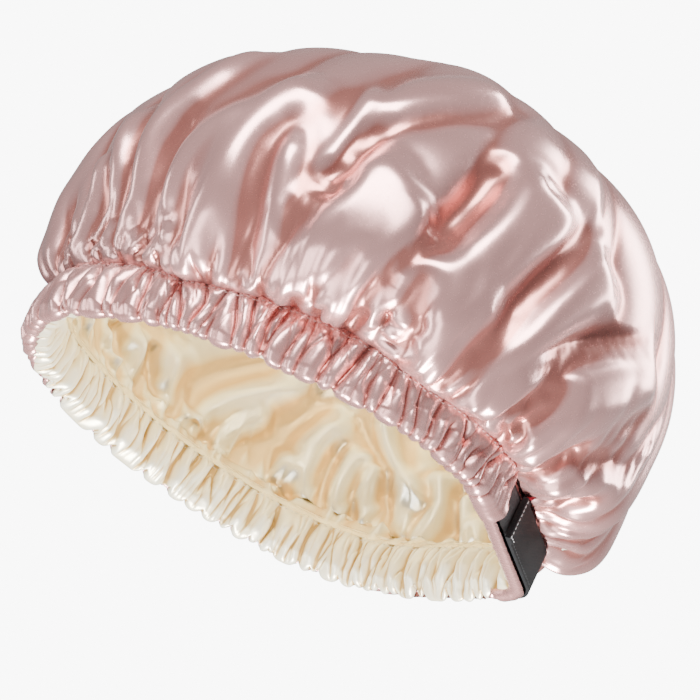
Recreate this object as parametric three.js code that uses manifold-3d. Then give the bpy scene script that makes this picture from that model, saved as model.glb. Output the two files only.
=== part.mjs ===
// A reversible satin hair bonnet. Two gathered plies, rose outside and champagne inside, meet at the hem and
// are sewn together again a casing's height above it. The casing holds an elastic band. The band ends at the
// nape, where a strap closes it with a hook patch on a tape of loops.
// Millimetres, +Z up through the crown, forehead towards -Y, nape towards +Y, hem on the plane z = 0.
import * as THREE from 'three';
import * as BufferGeometryUtils from 'three/addons/utils/BufferGeometryUtils.js';
import Module from 'manifold-3d';

const wasm = await Module();
wasm.setup();

// Head opening, measured on the head's side of the lining: an egg of arcs with a flattened nape.
const headLength = 192;
const headWidth = 168;
const foreheadRadius = 62;
const shoulderRadius = 60;
const napeFoldRadius = 8;
const napeSlope = 30;

// Cloth and clearances.
const satinThickness = 0.6;
const plyGap = 0.8;
const layerGap = 0.3;
const sewnGap = 0.2;

// Casing round the opening.
const casingHeight = 21;
const casingSeamGap = 0.3;
const hemThickness = 1.6;
const liningHemLift = 0.3;
const liningPuff = 2.0;
const outerPuff = 2.6;
const flatPuff = 0.25;
const casingEase = 0.4;
const seamOffset = 1.8;
const outerGathers = 36;
const liningGathers = 24;
const columnsPerGather = 4;

// Elastic band in the casing.
const elasticWidth = 17;
const elasticThickness = 1.2;
const elasticBottom = 1.8;

// Closure at the nape.
const nearMouthSetback = 5;
const farMouthSetback = 10;
const mouthRamp = 4;
const pocketFade = 20;
const pocketSpare = 2;
const buriedLength = 16;
const elasticSetback = 9;
const tapeShown = 14;
const tapeSpare = 4;
const tapeThickness = 0.8;
const patchThickness = 0.5;
const patchMargin = 1.5;
const patchSetback = 1;
const hookLength = 16;
const closureGap = 0.3;
const strapThickness = 1.2;
const strapPeel = 120;
const slotClearance = 0.3;
const slotReach = 9;
const hemFoldLength = 5;
const hemFoldThickness = 0.7;

// Pull tab on the strap's free corner.
const tabLength = 7;
const tabRise = 1.8;
const tabOverlap = 1.2;

// Crown above the casing.
const crownHeight = 158;
const crownWidth = 222;
const crownBack = 121;
const crownFront = 114.5;
const widestHeight = 60;
const seamRiser = 1.5;
const crownRoundness = 2.26;
const planRoundness = 1.94;
const frontFlareRoundness = 1.5;
const backFlareRoundness = 5;
const apexSetback = 8;
const foldDepth = 9;
const wideFoldShare = 0.06;
const crestRiseShare = 0.5;
const crestRoundness = 0.8;
const foldFullClimb = 0.5;
const foldLeanClimb = 1.2;
const foldFadeClimb = 1.1;
const topClimb = 2;
const crownColumns = 68;
const flareRows = 4;
const domeRows = 4;
const foldFootShares = [
  0.012, 0.058, 0.108, 0.172, 0.212, 0.262, 0.314, 0.362, 0.414, 0.466,
  0.53, 0.58, 0.632, 0.68, 0.735, 0.79, 0.845, 0.9, 0.955,
];
const foldLeanShares = [
  0, -0.01, -0.02, -0.022, -0.016, -0.022, -0.014, -0.012, -0.016, -0.01,
  0.01, 0.02, 0.01, 0.03, 0.02, -0.01, -0.02, 0.01, 0,
];

const normalStepShare = 0.002;
const arcSteps = 20;
const hingeSteps = 6;

// Radial layers, counted outwards from the head.
const liningOuter = liningPuff + satinThickness;
const elasticInner = liningOuter + layerGap;
const elasticOuter = elasticInner + elasticThickness;
const tapeInner = elasticOuter + sewnGap;
const tapeOuter = tapeInner + tapeThickness;
const pileInner = tapeOuter + sewnGap;
const pileOuter = pileInner + patchThickness;
const hookInner = pileOuter + closureGap;
const hookOuter = hookInner + patchThickness;
const strapInner = hookOuter + sewnGap;
const strapOuter = strapInner + strapThickness;
const farElasticInner = strapInner - layerGap - elasticThickness;
const casingBandInner = elasticOuter + casingEase;
const casingNearInner = tapeOuter + 3 * casingEase;
const casingFarInner = strapOuter + casingEase;
const casingFlatInner = elasticInner + layerGap;
const strapTop = elasticBottom + elasticWidth;

const radians = THREE.MathUtils.degToRad;
const smooth = (x, low, high) => THREE.MathUtils.smoothstep(x, low, high);
const mix = THREE.MathUtils.lerp;
const turns = (share) => share - Math.floor(share);

// Half of the rim in plan, from the middle of the nape by the wearer's left to the forehead. Each stretch
// gives its point and the way that it faces at a distance along it.
const arcStretch = (x, y, radius, fromFacing, toFacing) => ({
  length: radius * (fromFacing - toFacing),
  at: (along) => {
    const facing = fromFacing - along / radius;
    return { x: x + radius * Math.cos(facing), y: y + radius * Math.sin(facing), facing };
  },
});

const lineStretch = (from, length) => ({
  length,
  at: (along) => ({ x: from.x + along * Math.sin(from.facing), y: from.y - along * Math.cos(from.facing), facing: from.facing }),
});

const halfLength = headLength / 2;
const halfWidth = headWidth / 2;
const slope = radians(napeSlope);
const closureFacing = Math.PI / 2 - slope;
const closureReach = napeFoldRadius + (halfLength - napeFoldRadius) * Math.cos(slope);
const shoulderX = halfWidth - shoulderRadius;
const shoulderY = (closureReach - shoulderRadius - shoulderX * Math.sin(slope)) / Math.cos(slope);
const napeFold = arcStretch(0, halfLength - napeFoldRadius, napeFoldRadius, Math.PI / 2, closureFacing);
const closureStart = napeFold.at(napeFold.length);
const closureLength = (shoulderX + shoulderRadius * Math.sin(slope) - closureStart.x) / Math.cos(slope);
const foreheadDrop = shoulderY + halfLength - foreheadRadius;
const sideDrop = halfWidth - foreheadRadius;
const sideRadius = (foreheadDrop ** 2 + sideDrop ** 2) / (2 * sideDrop) + foreheadRadius;
const sideTurn = Math.atan2(foreheadDrop, sideRadius - halfWidth);
const halfRim = [
  napeFold,
  lineStretch(closureStart, closureLength),
  arcStretch(shoulderX, shoulderY, shoulderRadius, closureFacing, 0),
  arcStretch(halfWidth - sideRadius, shoulderY, sideRadius, 0, -sideTurn),
  arcStretch(0, foreheadRadius - halfLength, foreheadRadius, -sideTurn, -Math.PI / 2),
];
const halfRimLength = halfRim.reduce((sum, stretch) => sum + stretch.length, 0);
const rimLength = 2 * halfRimLength;

// Places along the rim are distances from the middle of the nape, positive by the wearer's left.
const straightEnd = napeFold.length + closureLength;
const nearMouth = straightEnd - nearMouthSetback;
const farMouth = farMouthSetback - straightEnd;
const tapeEnd = nearMouth + buriedLength;
const rootEnd = farMouth - buriedLength;
const strapFree = nearMouth - tapeShown;
const hookEnd = strapFree - patchSetback;
const hookStart = hookEnd - hookLength;
const tapeStart = hookStart - tapeSpare;

function rimPlace(along) {
  const wrapped = turns(along / rimLength + 1 / 2) * rimLength - halfRimLength;
  let rest = Math.abs(wrapped);
  for (const stretch of halfRim) {
    if (rest <= stretch.length || stretch === halfRim.at(-1)) {
      const place = stretch.at(rest);
      return wrapped < 0 ? { x: -place.x, y: place.y, facing: Math.PI - place.facing } : place;
    }
    rest -= stretch.length;
  }
  return undefined;
}

function rimPoint(along, offset, z) {
  const { x, y, facing } = rimPlace(along);
  return new THREE.Vector3(x + offset * Math.cos(facing), y + offset * Math.sin(facing), z);
}

// Distance along the rim at a share of the way round, between minus and plus half of the rim.
const rimAlong = (share) => turns(share + 1 / 2) * rimLength - halfRimLength;

function solidFromTriangles(points, triangles) {
  const geometry = new THREE.BufferGeometry();
  geometry.setAttribute('position', new THREE.Float32BufferAttribute(points.flatMap((p) => p.toArray()), 3));
  geometry.setIndex(triangles);
  return geometry;
}

// A ring whose section changes as it goes round: section(share) gives the corners of a closed outline.
function ringSolid(columns, section) {
  const points = [];
  const triangles = [];
  for (let column = 0; column < columns; column += 1) {
    points.push(...section(column / columns));
  }
  const corners = points.length / columns;
  for (let column = 0; column < columns; column += 1) {
    const here = column * corners;
    const next = ((column + 1) % columns) * corners;
    for (let corner = 0; corner < corners; corner += 1) {
      const after = (corner + 1) % corners;
      triangles.push(here + corner, here + after, next + corner);
      triangles.push(here + after, next + after, next + corner);
    }
  }
  return solidFromTriangles(points, triangles);
}

// A cap of even thickness: surface(share, row, inset) gives its points, and the last row is the apex.
function capSolid(columns, rows, surface, insetOut, insetIn) {
  const points = [];
  const triangles = [];
  for (const inset of [insetOut, insetIn]) {
    for (let row = 0; row < rows; row += 1) {
      for (let column = 0; column < columns; column += 1) {
        points.push(surface(column / columns, row, inset));
      }
    }
    points.push(surface(0, rows, inset));
  }
  const side = columns * rows + 1;
  const at = (face, row, column) => face * side + (row === rows ? columns * rows : row * columns + (column % columns));
  for (let column = 0; column < columns; column += 1) {
    const next = column + 1;
    for (let row = 0; row < rows; row += 1) {
      triangles.push(at(0, row, column), at(0, row + 1, column), at(0, row, next));
      triangles.push(at(1, row, column), at(1, row, next), at(1, row + 1, column));
      if (row + 1 < rows) {
        triangles.push(at(0, row, next), at(0, row + 1, column), at(0, row + 1, next));
        triangles.push(at(1, row, next), at(1, row + 1, next), at(1, row + 1, column));
      }
    }
    triangles.push(at(0, 0, column), at(0, 0, next), at(1, 0, column));
    triangles.push(at(1, 0, column), at(0, 0, next), at(1, 0, next));
  }
  return solidFromTriangles(points, triangles);
}

// How much of the nape lies between the mouths, 1 there and 0 elsewhere.
function betweenMouths(along) {
  const pastFar = smooth(along, farMouth - mouthRamp, farMouth);
  const beforeNear = 1 - smooth(along, nearMouth, nearMouth + mouthRamp);
  return pastFar * beforeNear;
}

const farLift = (along) => smooth(along, rootEnd - pocketSpare - pocketFade, rootEnd - pocketSpare);
const nearLift = (along) => 1 - smooth(along, tapeEnd + pocketSpare, tapeEnd + pocketSpare + pocketFade);

// Inner face of the casing's outer ply: lifted over the tape and the strap, flat between the mouths.
function casingInner(along) {
  const near = mix(casingBandInner, casingNearInner, nearLift(along));
  const far = mix(casingBandInner, casingFarInner, farLift(along));
  return mix(along > 0 ? near : far, casingFlatInner, betweenMouths(along));
}

const gather = (share, count) => (1 - Math.cos(2 * Math.PI * count * share)) / 2;

// A ply of the casing at one place: heights and offsets of its head side, and its thickness at each height.
function plySection(along, heights, offsets, thicknesses) {
  const inside = heights.map((z, i) => rimPoint(along, offsets[i], z));
  const outside = heights.map((z, i) => rimPoint(along, offsets[i] + thicknesses[i], z));
  return [...outside, ...inside.reverse()];
}

const casingTop = casingHeight - casingSeamGap;
const overElastic = strapTop + layerGap;
const underElastic = elasticBottom - layerGap;

function casingOuterSection(share) {
  const along = rimAlong(share);
  const puff = gather(share, outerGathers) * mix(outerPuff, flatPuff, betweenMouths(along));
  const inner = casingInner(along) + puff;
  const heights = [0, underElastic, overElastic, casingTop];
  const offsets = [elasticInner, inner, inner, seamOffset];
  return plySection(along, heights, offsets, [hemThickness, satinThickness, satinThickness, satinThickness]);
}

function casingLiningSection(share) {
  const along = rimAlong(share);
  const puff = gather(share, liningGathers) * mix(liningPuff, flatPuff, betweenMouths(along));
  const inner = liningPuff - puff;
  const heights = [liningHemLift, underElastic, overElastic, casingTop];
  const offsets = [liningPuff, inner, inner, seamOffset - plyGap - satinThickness];
  return plySection(along, heights, offsets, heights.map(() => satinThickness));
}

// The crown's smooth form: a short riser from the seam, a flare out to the widest line, and a round top.
const crownRows = 1 + flareRows + domeRows;

function widestPoint(along) {
  const seam = rimPoint(along, seamOffset, 0);
  const round = Math.atan2(seam.x, seam.y);
  const lengthwise = Math.cos(round) > 0 ? crownBack : crownFront;
  const across = Math.abs(Math.sin(round) / (crownWidth / 2)) ** planRoundness;
  const along2 = Math.abs(Math.cos(round) / lengthwise) ** planRoundness;
  const reach = (across + along2) ** (-1 / planRoundness);
  return new THREE.Vector3(reach * Math.sin(round), reach * Math.cos(round), 0);
}

function crownBase(share, row) {
  const along = rimAlong(share);
  const seam = rimPoint(along, seamOffset + satinThickness, 0);
  const flareFrom = casingHeight + seamRiser;
  if (row <= 1) {
    return seam.setZ(casingHeight + seamRiser * row);
  }
  const widest = widestPoint(along);
  if (row <= 1 + flareRows) {
    const turn = ((row - 1) / flareRows) * (Math.PI / 2);
    const backward = (1 + widest.y / widest.length()) / 2;
    const roundness = mix(frontFlareRoundness, backFlareRoundness, backward);
    const out = Math.sin(turn) ** (2 / roundness);
    const climb = 1 - Math.max(Math.cos(turn), 0) ** (2 / roundness);
    return seam.lerp(widest, out).setZ(mix(flareFrom, widestHeight, climb));
  }
  const turn = Math.min((row - 1 - flareRows) / domeRows, 1) * (Math.PI / 2);
  const across = Math.max(Math.cos(turn), 0) ** (2 / crownRoundness);
  const up = Math.sin(turn) ** (2 / crownRoundness);
  const top = new THREE.Vector3(widest.x * across, widest.y * across, mix(widestHeight, crownHeight, up));
  top.y += apexSetback * up;
  return top;
}

// How far up the crown a row is: 0 at the seam, 1 at the widest line and 2 at the top.
const climbOf = (row) => Math.min(Math.max(row - 1, 0) / flareRows, 1) + Math.max(row - 1 - flareRows, 0) / domeRows;

// Main folds: round crests between creases that lean as they climb, full at the widest line and fading
// towards the top.
function crownFold(share, row) {
  const climb = climbOf(row);
  const fade = smooth(climb, 0, foldFullClimb) * (1 - smooth(climb, foldFadeClimb, topClimb));
  const lean = smooth(climb, 0, foldLeanClimb);
  const creases = foldFootShares.map((foot, i) => foot + foldLeanShares[i] * lean);
  const gaps = creases.map((crease, i) => (i + 1 < creases.length ? creases[i + 1] : creases[0] + 1) - crease);
  const here = creases.findIndex((crease, i) => turns(share - crease) < gaps[i]);
  const height = Math.min(gaps[here] / wideFoldShare, 1);
  const crest = height * Math.sin((Math.PI * turns(share - creases[here])) / gaps[here]) ** crestRoundness;
  return foldDepth * fade * (crest + crestRiseShare - 1);
}

function crownSurface(share, row, inset) {
  const point = crownBase(share, row);
  if (row === crownRows) {
    return point.setZ(point.z - inset);
  }
  const round = crownBase(share + normalStepShare, row).sub(crownBase(share - normalStepShare, row));
  const up = crownBase(share, row + 1).sub(crownBase(share, Math.max(row - 1, 0)));
  const outward = up.cross(round).normalize();
  return point.addScaledVector(outward, crownFold(share, row) - inset);
}

// Points along an arc in plan, both ends included.
function arcPoints(centre, radius, from, to, steps) {
  return Array.from({ length: steps + 1 }, (_, i) => {
    const facing = mix(from, to, i / steps);
    return new THREE.Vector2(centre.x + radius * Math.cos(facing), centre.y + radius * Math.sin(facing));
  });
}

function standOnEdge(outline, bottom, width) {
  const options = { depth: width, bevelEnabled: false };
  return new THREE.ExtrudeGeometry(new THREE.Shape(outline), options).translate(0, 0, bottom);
}

// A place beside the straight of the closure: distance along it and offset outwards, on the near or far side.
const closureFoot = rimPlace(napeFold.length);

function closurePoint(along, offset) {
  const past = Math.abs(along) - napeFold.length;
  const x = closureFoot.x + past * Math.cos(slope) + offset * Math.sin(slope);
  const y = closureFoot.y - past * Math.sin(slope) + offset * Math.cos(slope);
  return new THREE.Vector2(along < 0 ? -x : x, y);
}

// A straight strip beside the closure, standing on edge.
function closureStrip(inner, outer, from, to, bottom, width) {
  const corners = [closurePoint(from, outer), closurePoint(to, outer), closurePoint(to, inner), closurePoint(from, inner)];
  return standOnEdge(corners, bottom, width);
}

// The strap's free part: rounded where it hinges, bent round the nape, folded and sewn at its free end.
function strapFlapGeometry() {
  const foldCentre = new THREE.Vector2(0, halfLength - napeFoldRadius);
  const farFacing = Math.PI - closureFacing;
  const bend = (offset, from, to) => arcPoints(foldCentre, napeFoldRadius + offset, from, to, arcSteps);
  const hinge = closurePoint(-napeFold.length, (strapInner + strapOuter) / 2);
  const outline = [
    ...bend(strapInner, farFacing, closureFacing),
    closurePoint(strapFree, strapInner),
    closurePoint(strapFree, strapOuter + hemFoldThickness),
    closurePoint(strapFree - hemFoldLength, strapOuter + hemFoldThickness),
    closurePoint(strapFree - hemFoldLength, strapOuter),
    ...bend(strapOuter, closureFacing, farFacing),
    ...arcPoints(hinge, strapThickness / 2, farFacing, farFacing + Math.PI, hingeSteps).slice(1, -1),
  ];
  return standOnEdge(outline, elasticBottom, elasticWidth);
}

// The elastic, from the near mouth round the forehead to the far mouth, lifted there to meet the strap.
function elasticGeometry() {
  const from = nearMouth + elasticSetback;
  const to = rimLength + farMouth - elasticSetback;
  const alongs = Array.from({ length: crownColumns + 1 }, (_, i) => mix(from, to, i / crownColumns));
  const edge = alongs.map((along) => {
    const lift = along > halfRimLength ? farLift(along - rimLength) : 0;
    const offset = mix(elasticInner, farElasticInner, lift);
    return [rimPoint(along, offset, 0), rimPoint(along, offset + elasticThickness, 0)];
  });
  const flat = (point) => new THREE.Vector2(point.x, point.y);
  const outline = [...edge.map(([, outer]) => flat(outer)), ...edge.map(([inner]) => flat(inner)).reverse()];
  return standOnEdge(outline, elasticBottom, elasticWidth);
}

// A folded ribbon corner that shows above the strap's top edge.
function pullTabGeometry() {
  const outline = [
    new THREE.Vector2(0, -tabOverlap),
    new THREE.Vector2(tabLength, -tabOverlap),
    new THREE.Vector2(tabLength, 0),
    new THREE.Vector2(tabLength / 3, tabRise),
    new THREE.Vector2(0, 0),
  ];
  return standOnEdge(outline, 0, patchThickness).rotateX(Math.PI / 2);
}

function toSolid(geometry) {
  const plain = geometry.clone();
  plain.deleteAttribute('normal');
  plain.deleteAttribute('uv');
  const merged = BufferGeometryUtils.mergeVertices(plain);
  const vertProperties = new Float32Array(merged.attributes.position.array);
  return new wasm.Manifold(new wasm.Mesh({ numProp: 3, vertProperties, triVerts: new Uint32Array(merged.index.array) }));
}

function fromSolid(solid) {
  const { vertProperties, triVerts } = solid.getMesh();
  const geometry = new THREE.BufferGeometry();
  geometry.setAttribute('position', new THREE.BufferAttribute(vertProperties, 3));
  geometry.setIndex(new THREE.BufferAttribute(triVerts, 1));
  return geometry;
}

// The slit in the casing's outer ply that a band passes through.
function slitCutter(inner, outer, from, to) {
  const bottom = elasticBottom - slotClearance;
  return toSolid(closureStrip(inner - slotClearance, outer + slotClearance, from, to, bottom, elasticWidth + 2 * slotClearance));
}

function casingOuterGeometry() {
  const ply = toSolid(ringSolid(outerGathers * columnsPerGather, casingOuterSection));
  const near = slitCutter(tapeInner, tapeOuter, nearMouth - slotReach, nearMouth + slotReach);
  const far = slitCutter(strapInner, strapOuter, farMouth + slotReach, farMouth - slotReach);
  return fromSolid(ply.subtract(near).subtract(far));
}

const satin = (colour) => new THREE.MeshStandardMaterial({ color: colour, roughness: 0.32, metalness: 0.1, side: THREE.DoubleSide });
const roseSatin = satin(0xcfa5a0);
const champagneSatin = satin(0xeedfb8);
const whiteElastic = new THREE.MeshStandardMaterial({ color: 0xe9e6e0, roughness: 0.85, metalness: 0 });
const blackWebbing = new THREE.MeshStandardMaterial({ color: 0x26282a, roughness: 0.75, metalness: 0 });
const blackHooks = new THREE.MeshStandardMaterial({ color: 0x18191a, roughness: 0.6, metalness: 0 });
const redRibbon = new THREE.MeshStandardMaterial({ color: 0x5a0f16, roughness: 0.6, metalness: 0 });

const bonnet = new THREE.Group();

function addPiece(name, geometry, material) {
  const mesh = new THREE.Mesh(geometry, material);
  mesh.name = name;
  bonnet.add(mesh);
  return mesh;
}

const liningInset = satinThickness + plyGap;
const crownOuter = capSolid(crownColumns, crownRows, crownSurface, 0, satinThickness);
const crownLining = capSolid(crownColumns, crownRows, crownSurface, liningInset, liningInset + satinThickness);
const liningColumns = liningGathers * columnsPerGather;

addPiece('crown_outer', crownOuter, roseSatin);
addPiece('crown_lining', crownLining, champagneSatin);
addPiece('casing_outer', casingOuterGeometry(), roseSatin);
addPiece('casing_lining', ringSolid(liningColumns, casingLiningSection), champagneSatin);
addPiece('band_elastic', elasticGeometry(), whiteElastic);

const patchBottom = elasticBottom + patchMargin;
const patchWidth = elasticWidth - 2 * patchMargin;
const peeledAngle = Math.PI - radians(strapPeel);
const peelSetback = strapThickness / 2 / Math.tan(peeledAngle / 2) + layerGap;
const baseStart = -napeFold.length - peelSetback;
const tape = closureStrip(tapeInner, tapeOuter, tapeStart, tapeEnd, elasticBottom, elasticWidth);
const pile = closureStrip(pileInner, pileOuter, tapeStart + patchSetback, nearMouth - patchSetback, patchBottom, patchWidth);
const hooks = closureStrip(hookInner, hookOuter, hookStart, hookEnd, patchBottom, patchWidth);
const base = closureStrip(strapInner, strapOuter, baseStart, rootEnd, elasticBottom, elasticWidth);

addPiece('loop_tape', tape, blackWebbing);
addPiece('loop_pile', pile, blackHooks);
addPiece('strap_base', base, blackWebbing);
addPiece('strap_flap', strapFlapGeometry(), blackWebbing);
addPiece('hook_patch', hooks, blackHooks);

const tab = addPiece('pull_tab', pullTabGeometry(), redRibbon);
const tabPlace = closurePoint(hookEnd - tabLength, hookInner + patchThickness);
tab.position.set(tabPlace.x, tabPlace.y, strapTop);
tab.rotation.z = -slope;

export default bonnet;
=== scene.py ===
"""The looks of a satin hair bonnet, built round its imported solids, in metres in the part's own frame."""

import math

import bpy
import numpy as np
from mathutils import Matrix, Vector


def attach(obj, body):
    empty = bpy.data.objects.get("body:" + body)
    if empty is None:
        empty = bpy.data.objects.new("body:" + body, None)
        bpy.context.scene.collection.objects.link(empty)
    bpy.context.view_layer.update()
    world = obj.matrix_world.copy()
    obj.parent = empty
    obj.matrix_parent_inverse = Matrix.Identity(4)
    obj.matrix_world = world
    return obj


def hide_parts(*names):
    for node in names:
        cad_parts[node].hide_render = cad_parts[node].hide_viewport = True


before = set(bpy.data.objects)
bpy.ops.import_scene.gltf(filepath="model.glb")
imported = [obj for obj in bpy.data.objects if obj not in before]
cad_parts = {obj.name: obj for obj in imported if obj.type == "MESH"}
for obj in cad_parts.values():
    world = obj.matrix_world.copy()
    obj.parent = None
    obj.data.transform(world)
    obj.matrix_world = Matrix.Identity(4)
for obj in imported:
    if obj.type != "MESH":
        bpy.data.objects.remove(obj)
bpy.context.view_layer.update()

MM = 0.001

# Head opening: an egg of arcs with a flattened nape, as the casing's solids follow it.
HEAD_LENGTH = 192 * MM
HEAD_WIDTH = 168 * MM
FOREHEAD_RADIUS = 62 * MM
SHOULDER_RADIUS = 60 * MM
NAPE_RADIUS = 8 * MM
NAPE_SLOPE = math.radians(30)

# Crown: the smooth form that the cloth is laid on before it settles.
CROWN_HEIGHT = 158 * MM
CROWN_WIDTH = 222 * MM
CROWN_BACK = 121 * MM
CROWN_FRONT = 114.5 * MM
WIDEST_HEIGHT = 60 * MM
CROWN_ROUNDNESS = 2.26
PLAN_ROUNDNESS = 1.94
FRONT_FLARE = 1.5
BACK_FLARE = 5.0
APEX_SETBACK = 8 * MM
LINING_SLACK_SIDE = 0.1
LINING_SLACK_TOP, SLACK_START, SLACK_FULL = 0.28, 0.2, 1.6

# Casing and seam.
CASING_HEIGHT = 21 * MM
SEAM_RISER = 1.5 * MM
SEAM_OFFSET = 2.4 * MM
CROWN_FOOT = CASING_HEIGHT + SEAM_RISER

QUARTER = math.pi / 2
CLOSURE_FACING = QUARTER - NAPE_SLOPE

# Camera: the photograph's own angle, fitted to the rim, the strap and the outline.
AZIMUTH, ELEVATION, ROLL = math.radians(86.8), math.radians(-23.9), math.radians(27.2)
DISTANCE = 1.0
SHIFT_RIGHT, SHIFT_UP = -27.2 * MM, -42.2 * MM
FOCAL_PIXELS, PHOTO_PIXELS, SENSOR = 2743, 700, 36
level = np.array([math.cos(AZIMUTH), math.sin(AZIMUTH), 0])
level_back = np.array([math.sin(AZIMUTH), -math.cos(AZIMUTH), 0])
back = math.cos(ELEVATION) * level_back + math.sin(ELEVATION) * np.array([0, 0, 1])
steep = np.cross(back, level)
right = math.cos(ROLL) * level + math.sin(ROLL) * steep
above = math.cos(ROLL) * steep - math.sin(ROLL) * level

# Lengths that stand in for zero where a vector is divided by its own length.
NO_LENGTH, SHORTEST = 1e-12, 1e-9


def smooth(x, low, high):
    """Smooth step from 0 at low to 1 at high."""
    t = np.clip((x - low) / (high - low), 0, 1)
    return t * t * (3 - 2 * t)


def mix(a, b, t):
    return a + (b - a) * t


JOIN_OVERRUN = 1 + 1e-9


class Rim:
    """The head opening's outline, by distance from the middle of the nape, positive by the wearer's left."""

    def __init__(self):
        half, side = HEAD_LENGTH / 2, HEAD_WIDTH / 2
        reach = NAPE_RADIUS + (half - NAPE_RADIUS) * math.cos(NAPE_SLOPE)
        shoulder_x = side - SHOULDER_RADIUS
        shoulder_y = (reach - SHOULDER_RADIUS - shoulder_x * math.sin(NAPE_SLOPE)) / math.cos(NAPE_SLOPE)
        drop = shoulder_y + half - FOREHEAD_RADIUS
        inset = side - FOREHEAD_RADIUS
        radius = (drop**2 + inset**2) / (2 * inset) + FOREHEAD_RADIUS
        turn = math.atan2(drop, radius - side)
        start = (NAPE_RADIUS * math.cos(CLOSURE_FACING),
                 half - NAPE_RADIUS + NAPE_RADIUS * math.sin(CLOSURE_FACING))
        length = (shoulder_x + SHOULDER_RADIUS * math.sin(NAPE_SLOPE) - start[0]) / math.cos(NAPE_SLOPE)
        self.line_start = start
        self.stretches = [
            (0, half - NAPE_RADIUS, NAPE_RADIUS, QUARTER, CLOSURE_FACING),
            (length,),
            (shoulder_x, shoulder_y, SHOULDER_RADIUS, CLOSURE_FACING, 0),
            (side - radius, shoulder_y, radius, 0, -turn),
            (0, FOREHEAD_RADIUS - half, FOREHEAD_RADIUS, -turn, -QUARTER),
        ]
        self.lengths = [s[0] if len(s) == 1 else s[2] * (s[3] - s[4]) for s in self.stretches]
        self.half = sum(self.lengths)
        self.length = 2 * self.half

    def place(self, along):
        """Point in plan and facing angle at distances along the rim."""
        along = np.asarray(along, float)
        wrapped = (along / self.length + 0.5) % 1 * self.length - self.half
        rest = np.abs(wrapped)
        x, y, facing = (np.zeros_like(rest) for _ in range(3))
        start = 0.0
        for stretch, length in zip(self.stretches, self.lengths):
            here = (rest >= start) & (rest <= start + length * JOIN_OVERRUN)
            t = rest - start
            if len(stretch) == 1:
                f = np.full_like(t, CLOSURE_FACING)
                px = self.line_start[0] + t * math.sin(CLOSURE_FACING)
                py = self.line_start[1] - t * math.cos(CLOSURE_FACING)
            else:
                f = stretch[3] - t / stretch[2]
                px = stretch[0] + stretch[2] * np.cos(f)
                py = stretch[1] + stretch[2] * np.sin(f)
            x, y, facing = np.where(here, px, x), np.where(here, py, y), np.where(here, f, facing)
            start += length
        left = wrapped < 0
        return np.where(left, -x, x), y, np.where(left, math.pi - facing, facing)

    def point(self, along, offset, z):
        x, y, facing = self.place(along)
        along, offset, z = np.broadcast_arrays(along, offset, z)
        return np.stack([x + offset * np.cos(facing), y + offset * np.sin(facing), z + 0.0], axis=-1)

    def outward(self, along):
        """Unit vectors that face away from the head at distances along the rim."""
        facing = self.place(along)[2]
        return np.stack([np.cos(facing), np.sin(facing), 0 * facing], axis=-1)

    def share(self, round_share):
        """Distance along the rim at a share of the way round from the nape by the wearer's left."""
        return (np.asarray(round_share) + 0.5) % 1 * self.length - self.half


rim = Rim()


def crown_form(share, turn):
    """The crown's smooth form: turn goes 0 to 1 up the flare and 1 to 2 over the dome."""
    share, turn = np.broadcast_arrays(share, turn)
    seam = rim.point(rim.share(share), SEAM_OFFSET, 0.0)
    round_angle = np.arctan2(seam[..., 0], seam[..., 1])
    lengthwise = np.where(np.cos(round_angle) > 0, CROWN_BACK, CROWN_FRONT)
    across = np.abs(np.sin(round_angle) * 2 / CROWN_WIDTH) ** PLAN_ROUNDNESS
    along = np.abs(np.cos(round_angle) / lengthwise) ** PLAN_ROUNDNESS
    reach = (across + along) ** (-1 / PLAN_ROUNDNESS)
    wide = np.stack([reach * np.sin(round_angle), reach * np.cos(round_angle), 0 * reach], axis=-1)
    backward = (1 + np.cos(round_angle)) / 2
    flare = 2 / mix(FRONT_FLARE, BACK_FLARE, backward)
    rise = np.clip(turn, 0, 1) * QUARTER
    low = mix(seam, wide, (np.sin(rise) ** flare)[..., None])
    low[..., 2] = mix(CROWN_FOOT, WIDEST_HEIGHT, 1 - np.maximum(np.cos(rise), 0) ** flare)
    roll = np.clip(turn - 1, 0, 1) * QUARTER
    up = np.sin(roll) ** (2 / CROWN_ROUNDNESS)
    high = wide * (np.maximum(np.cos(roll), 0) ** (2 / CROWN_ROUNDNESS))[..., None]
    high[..., 1] += APEX_SETBACK * up
    high[..., 2] = mix(WIDEST_HEIGHT, CROWN_HEIGHT, up)
    return np.where((turn <= 1)[..., None], low, high)


def lining_form(share, turn):
    """The lining's own form: the loose ply hangs lower and narrower inside the rose one."""
    form = crown_form(share, turn)
    form[..., :2] *= (1 - LINING_SLACK_SIDE * smooth(turn, 0, 1))[..., None]
    slack = LINING_SLACK_TOP * smooth(turn, SLACK_START, SLACK_FULL)
    form[..., 2] = CROWN_FOOT + (form[..., 2] - CROWN_FOOT) * (1 - slack)
    return form


def outward(points):
    """Unit normals of a grid, facing away from the head."""
    around = np.roll(points, -1, axis=1) - np.roll(points, 1, axis=1)
    upward = np.gradient(points, axis=0)
    normal = np.cross(upward, around)
    return normal / np.maximum(np.linalg.norm(normal, axis=-1, keepdims=True), NO_LENGTH)


def walk(points):
    """Distance walked up each column of a grid."""
    steps = np.linalg.norm(np.diff(points, axis=0), axis=-1)
    return np.vstack([np.zeros(points.shape[1]), np.cumsum(steps, axis=0)])


# Cloth: each ply of the crown is a round piece of satin, gathered at the seam and loose above it.

CROWN_COLUMNS = 346
CROWN_ROWS = 70
ROW_CROWDING = 1.15
FORM_STEPS = 400
TRACE_COLUMNS = 1200
TRACE_DIGITS = 3


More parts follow.
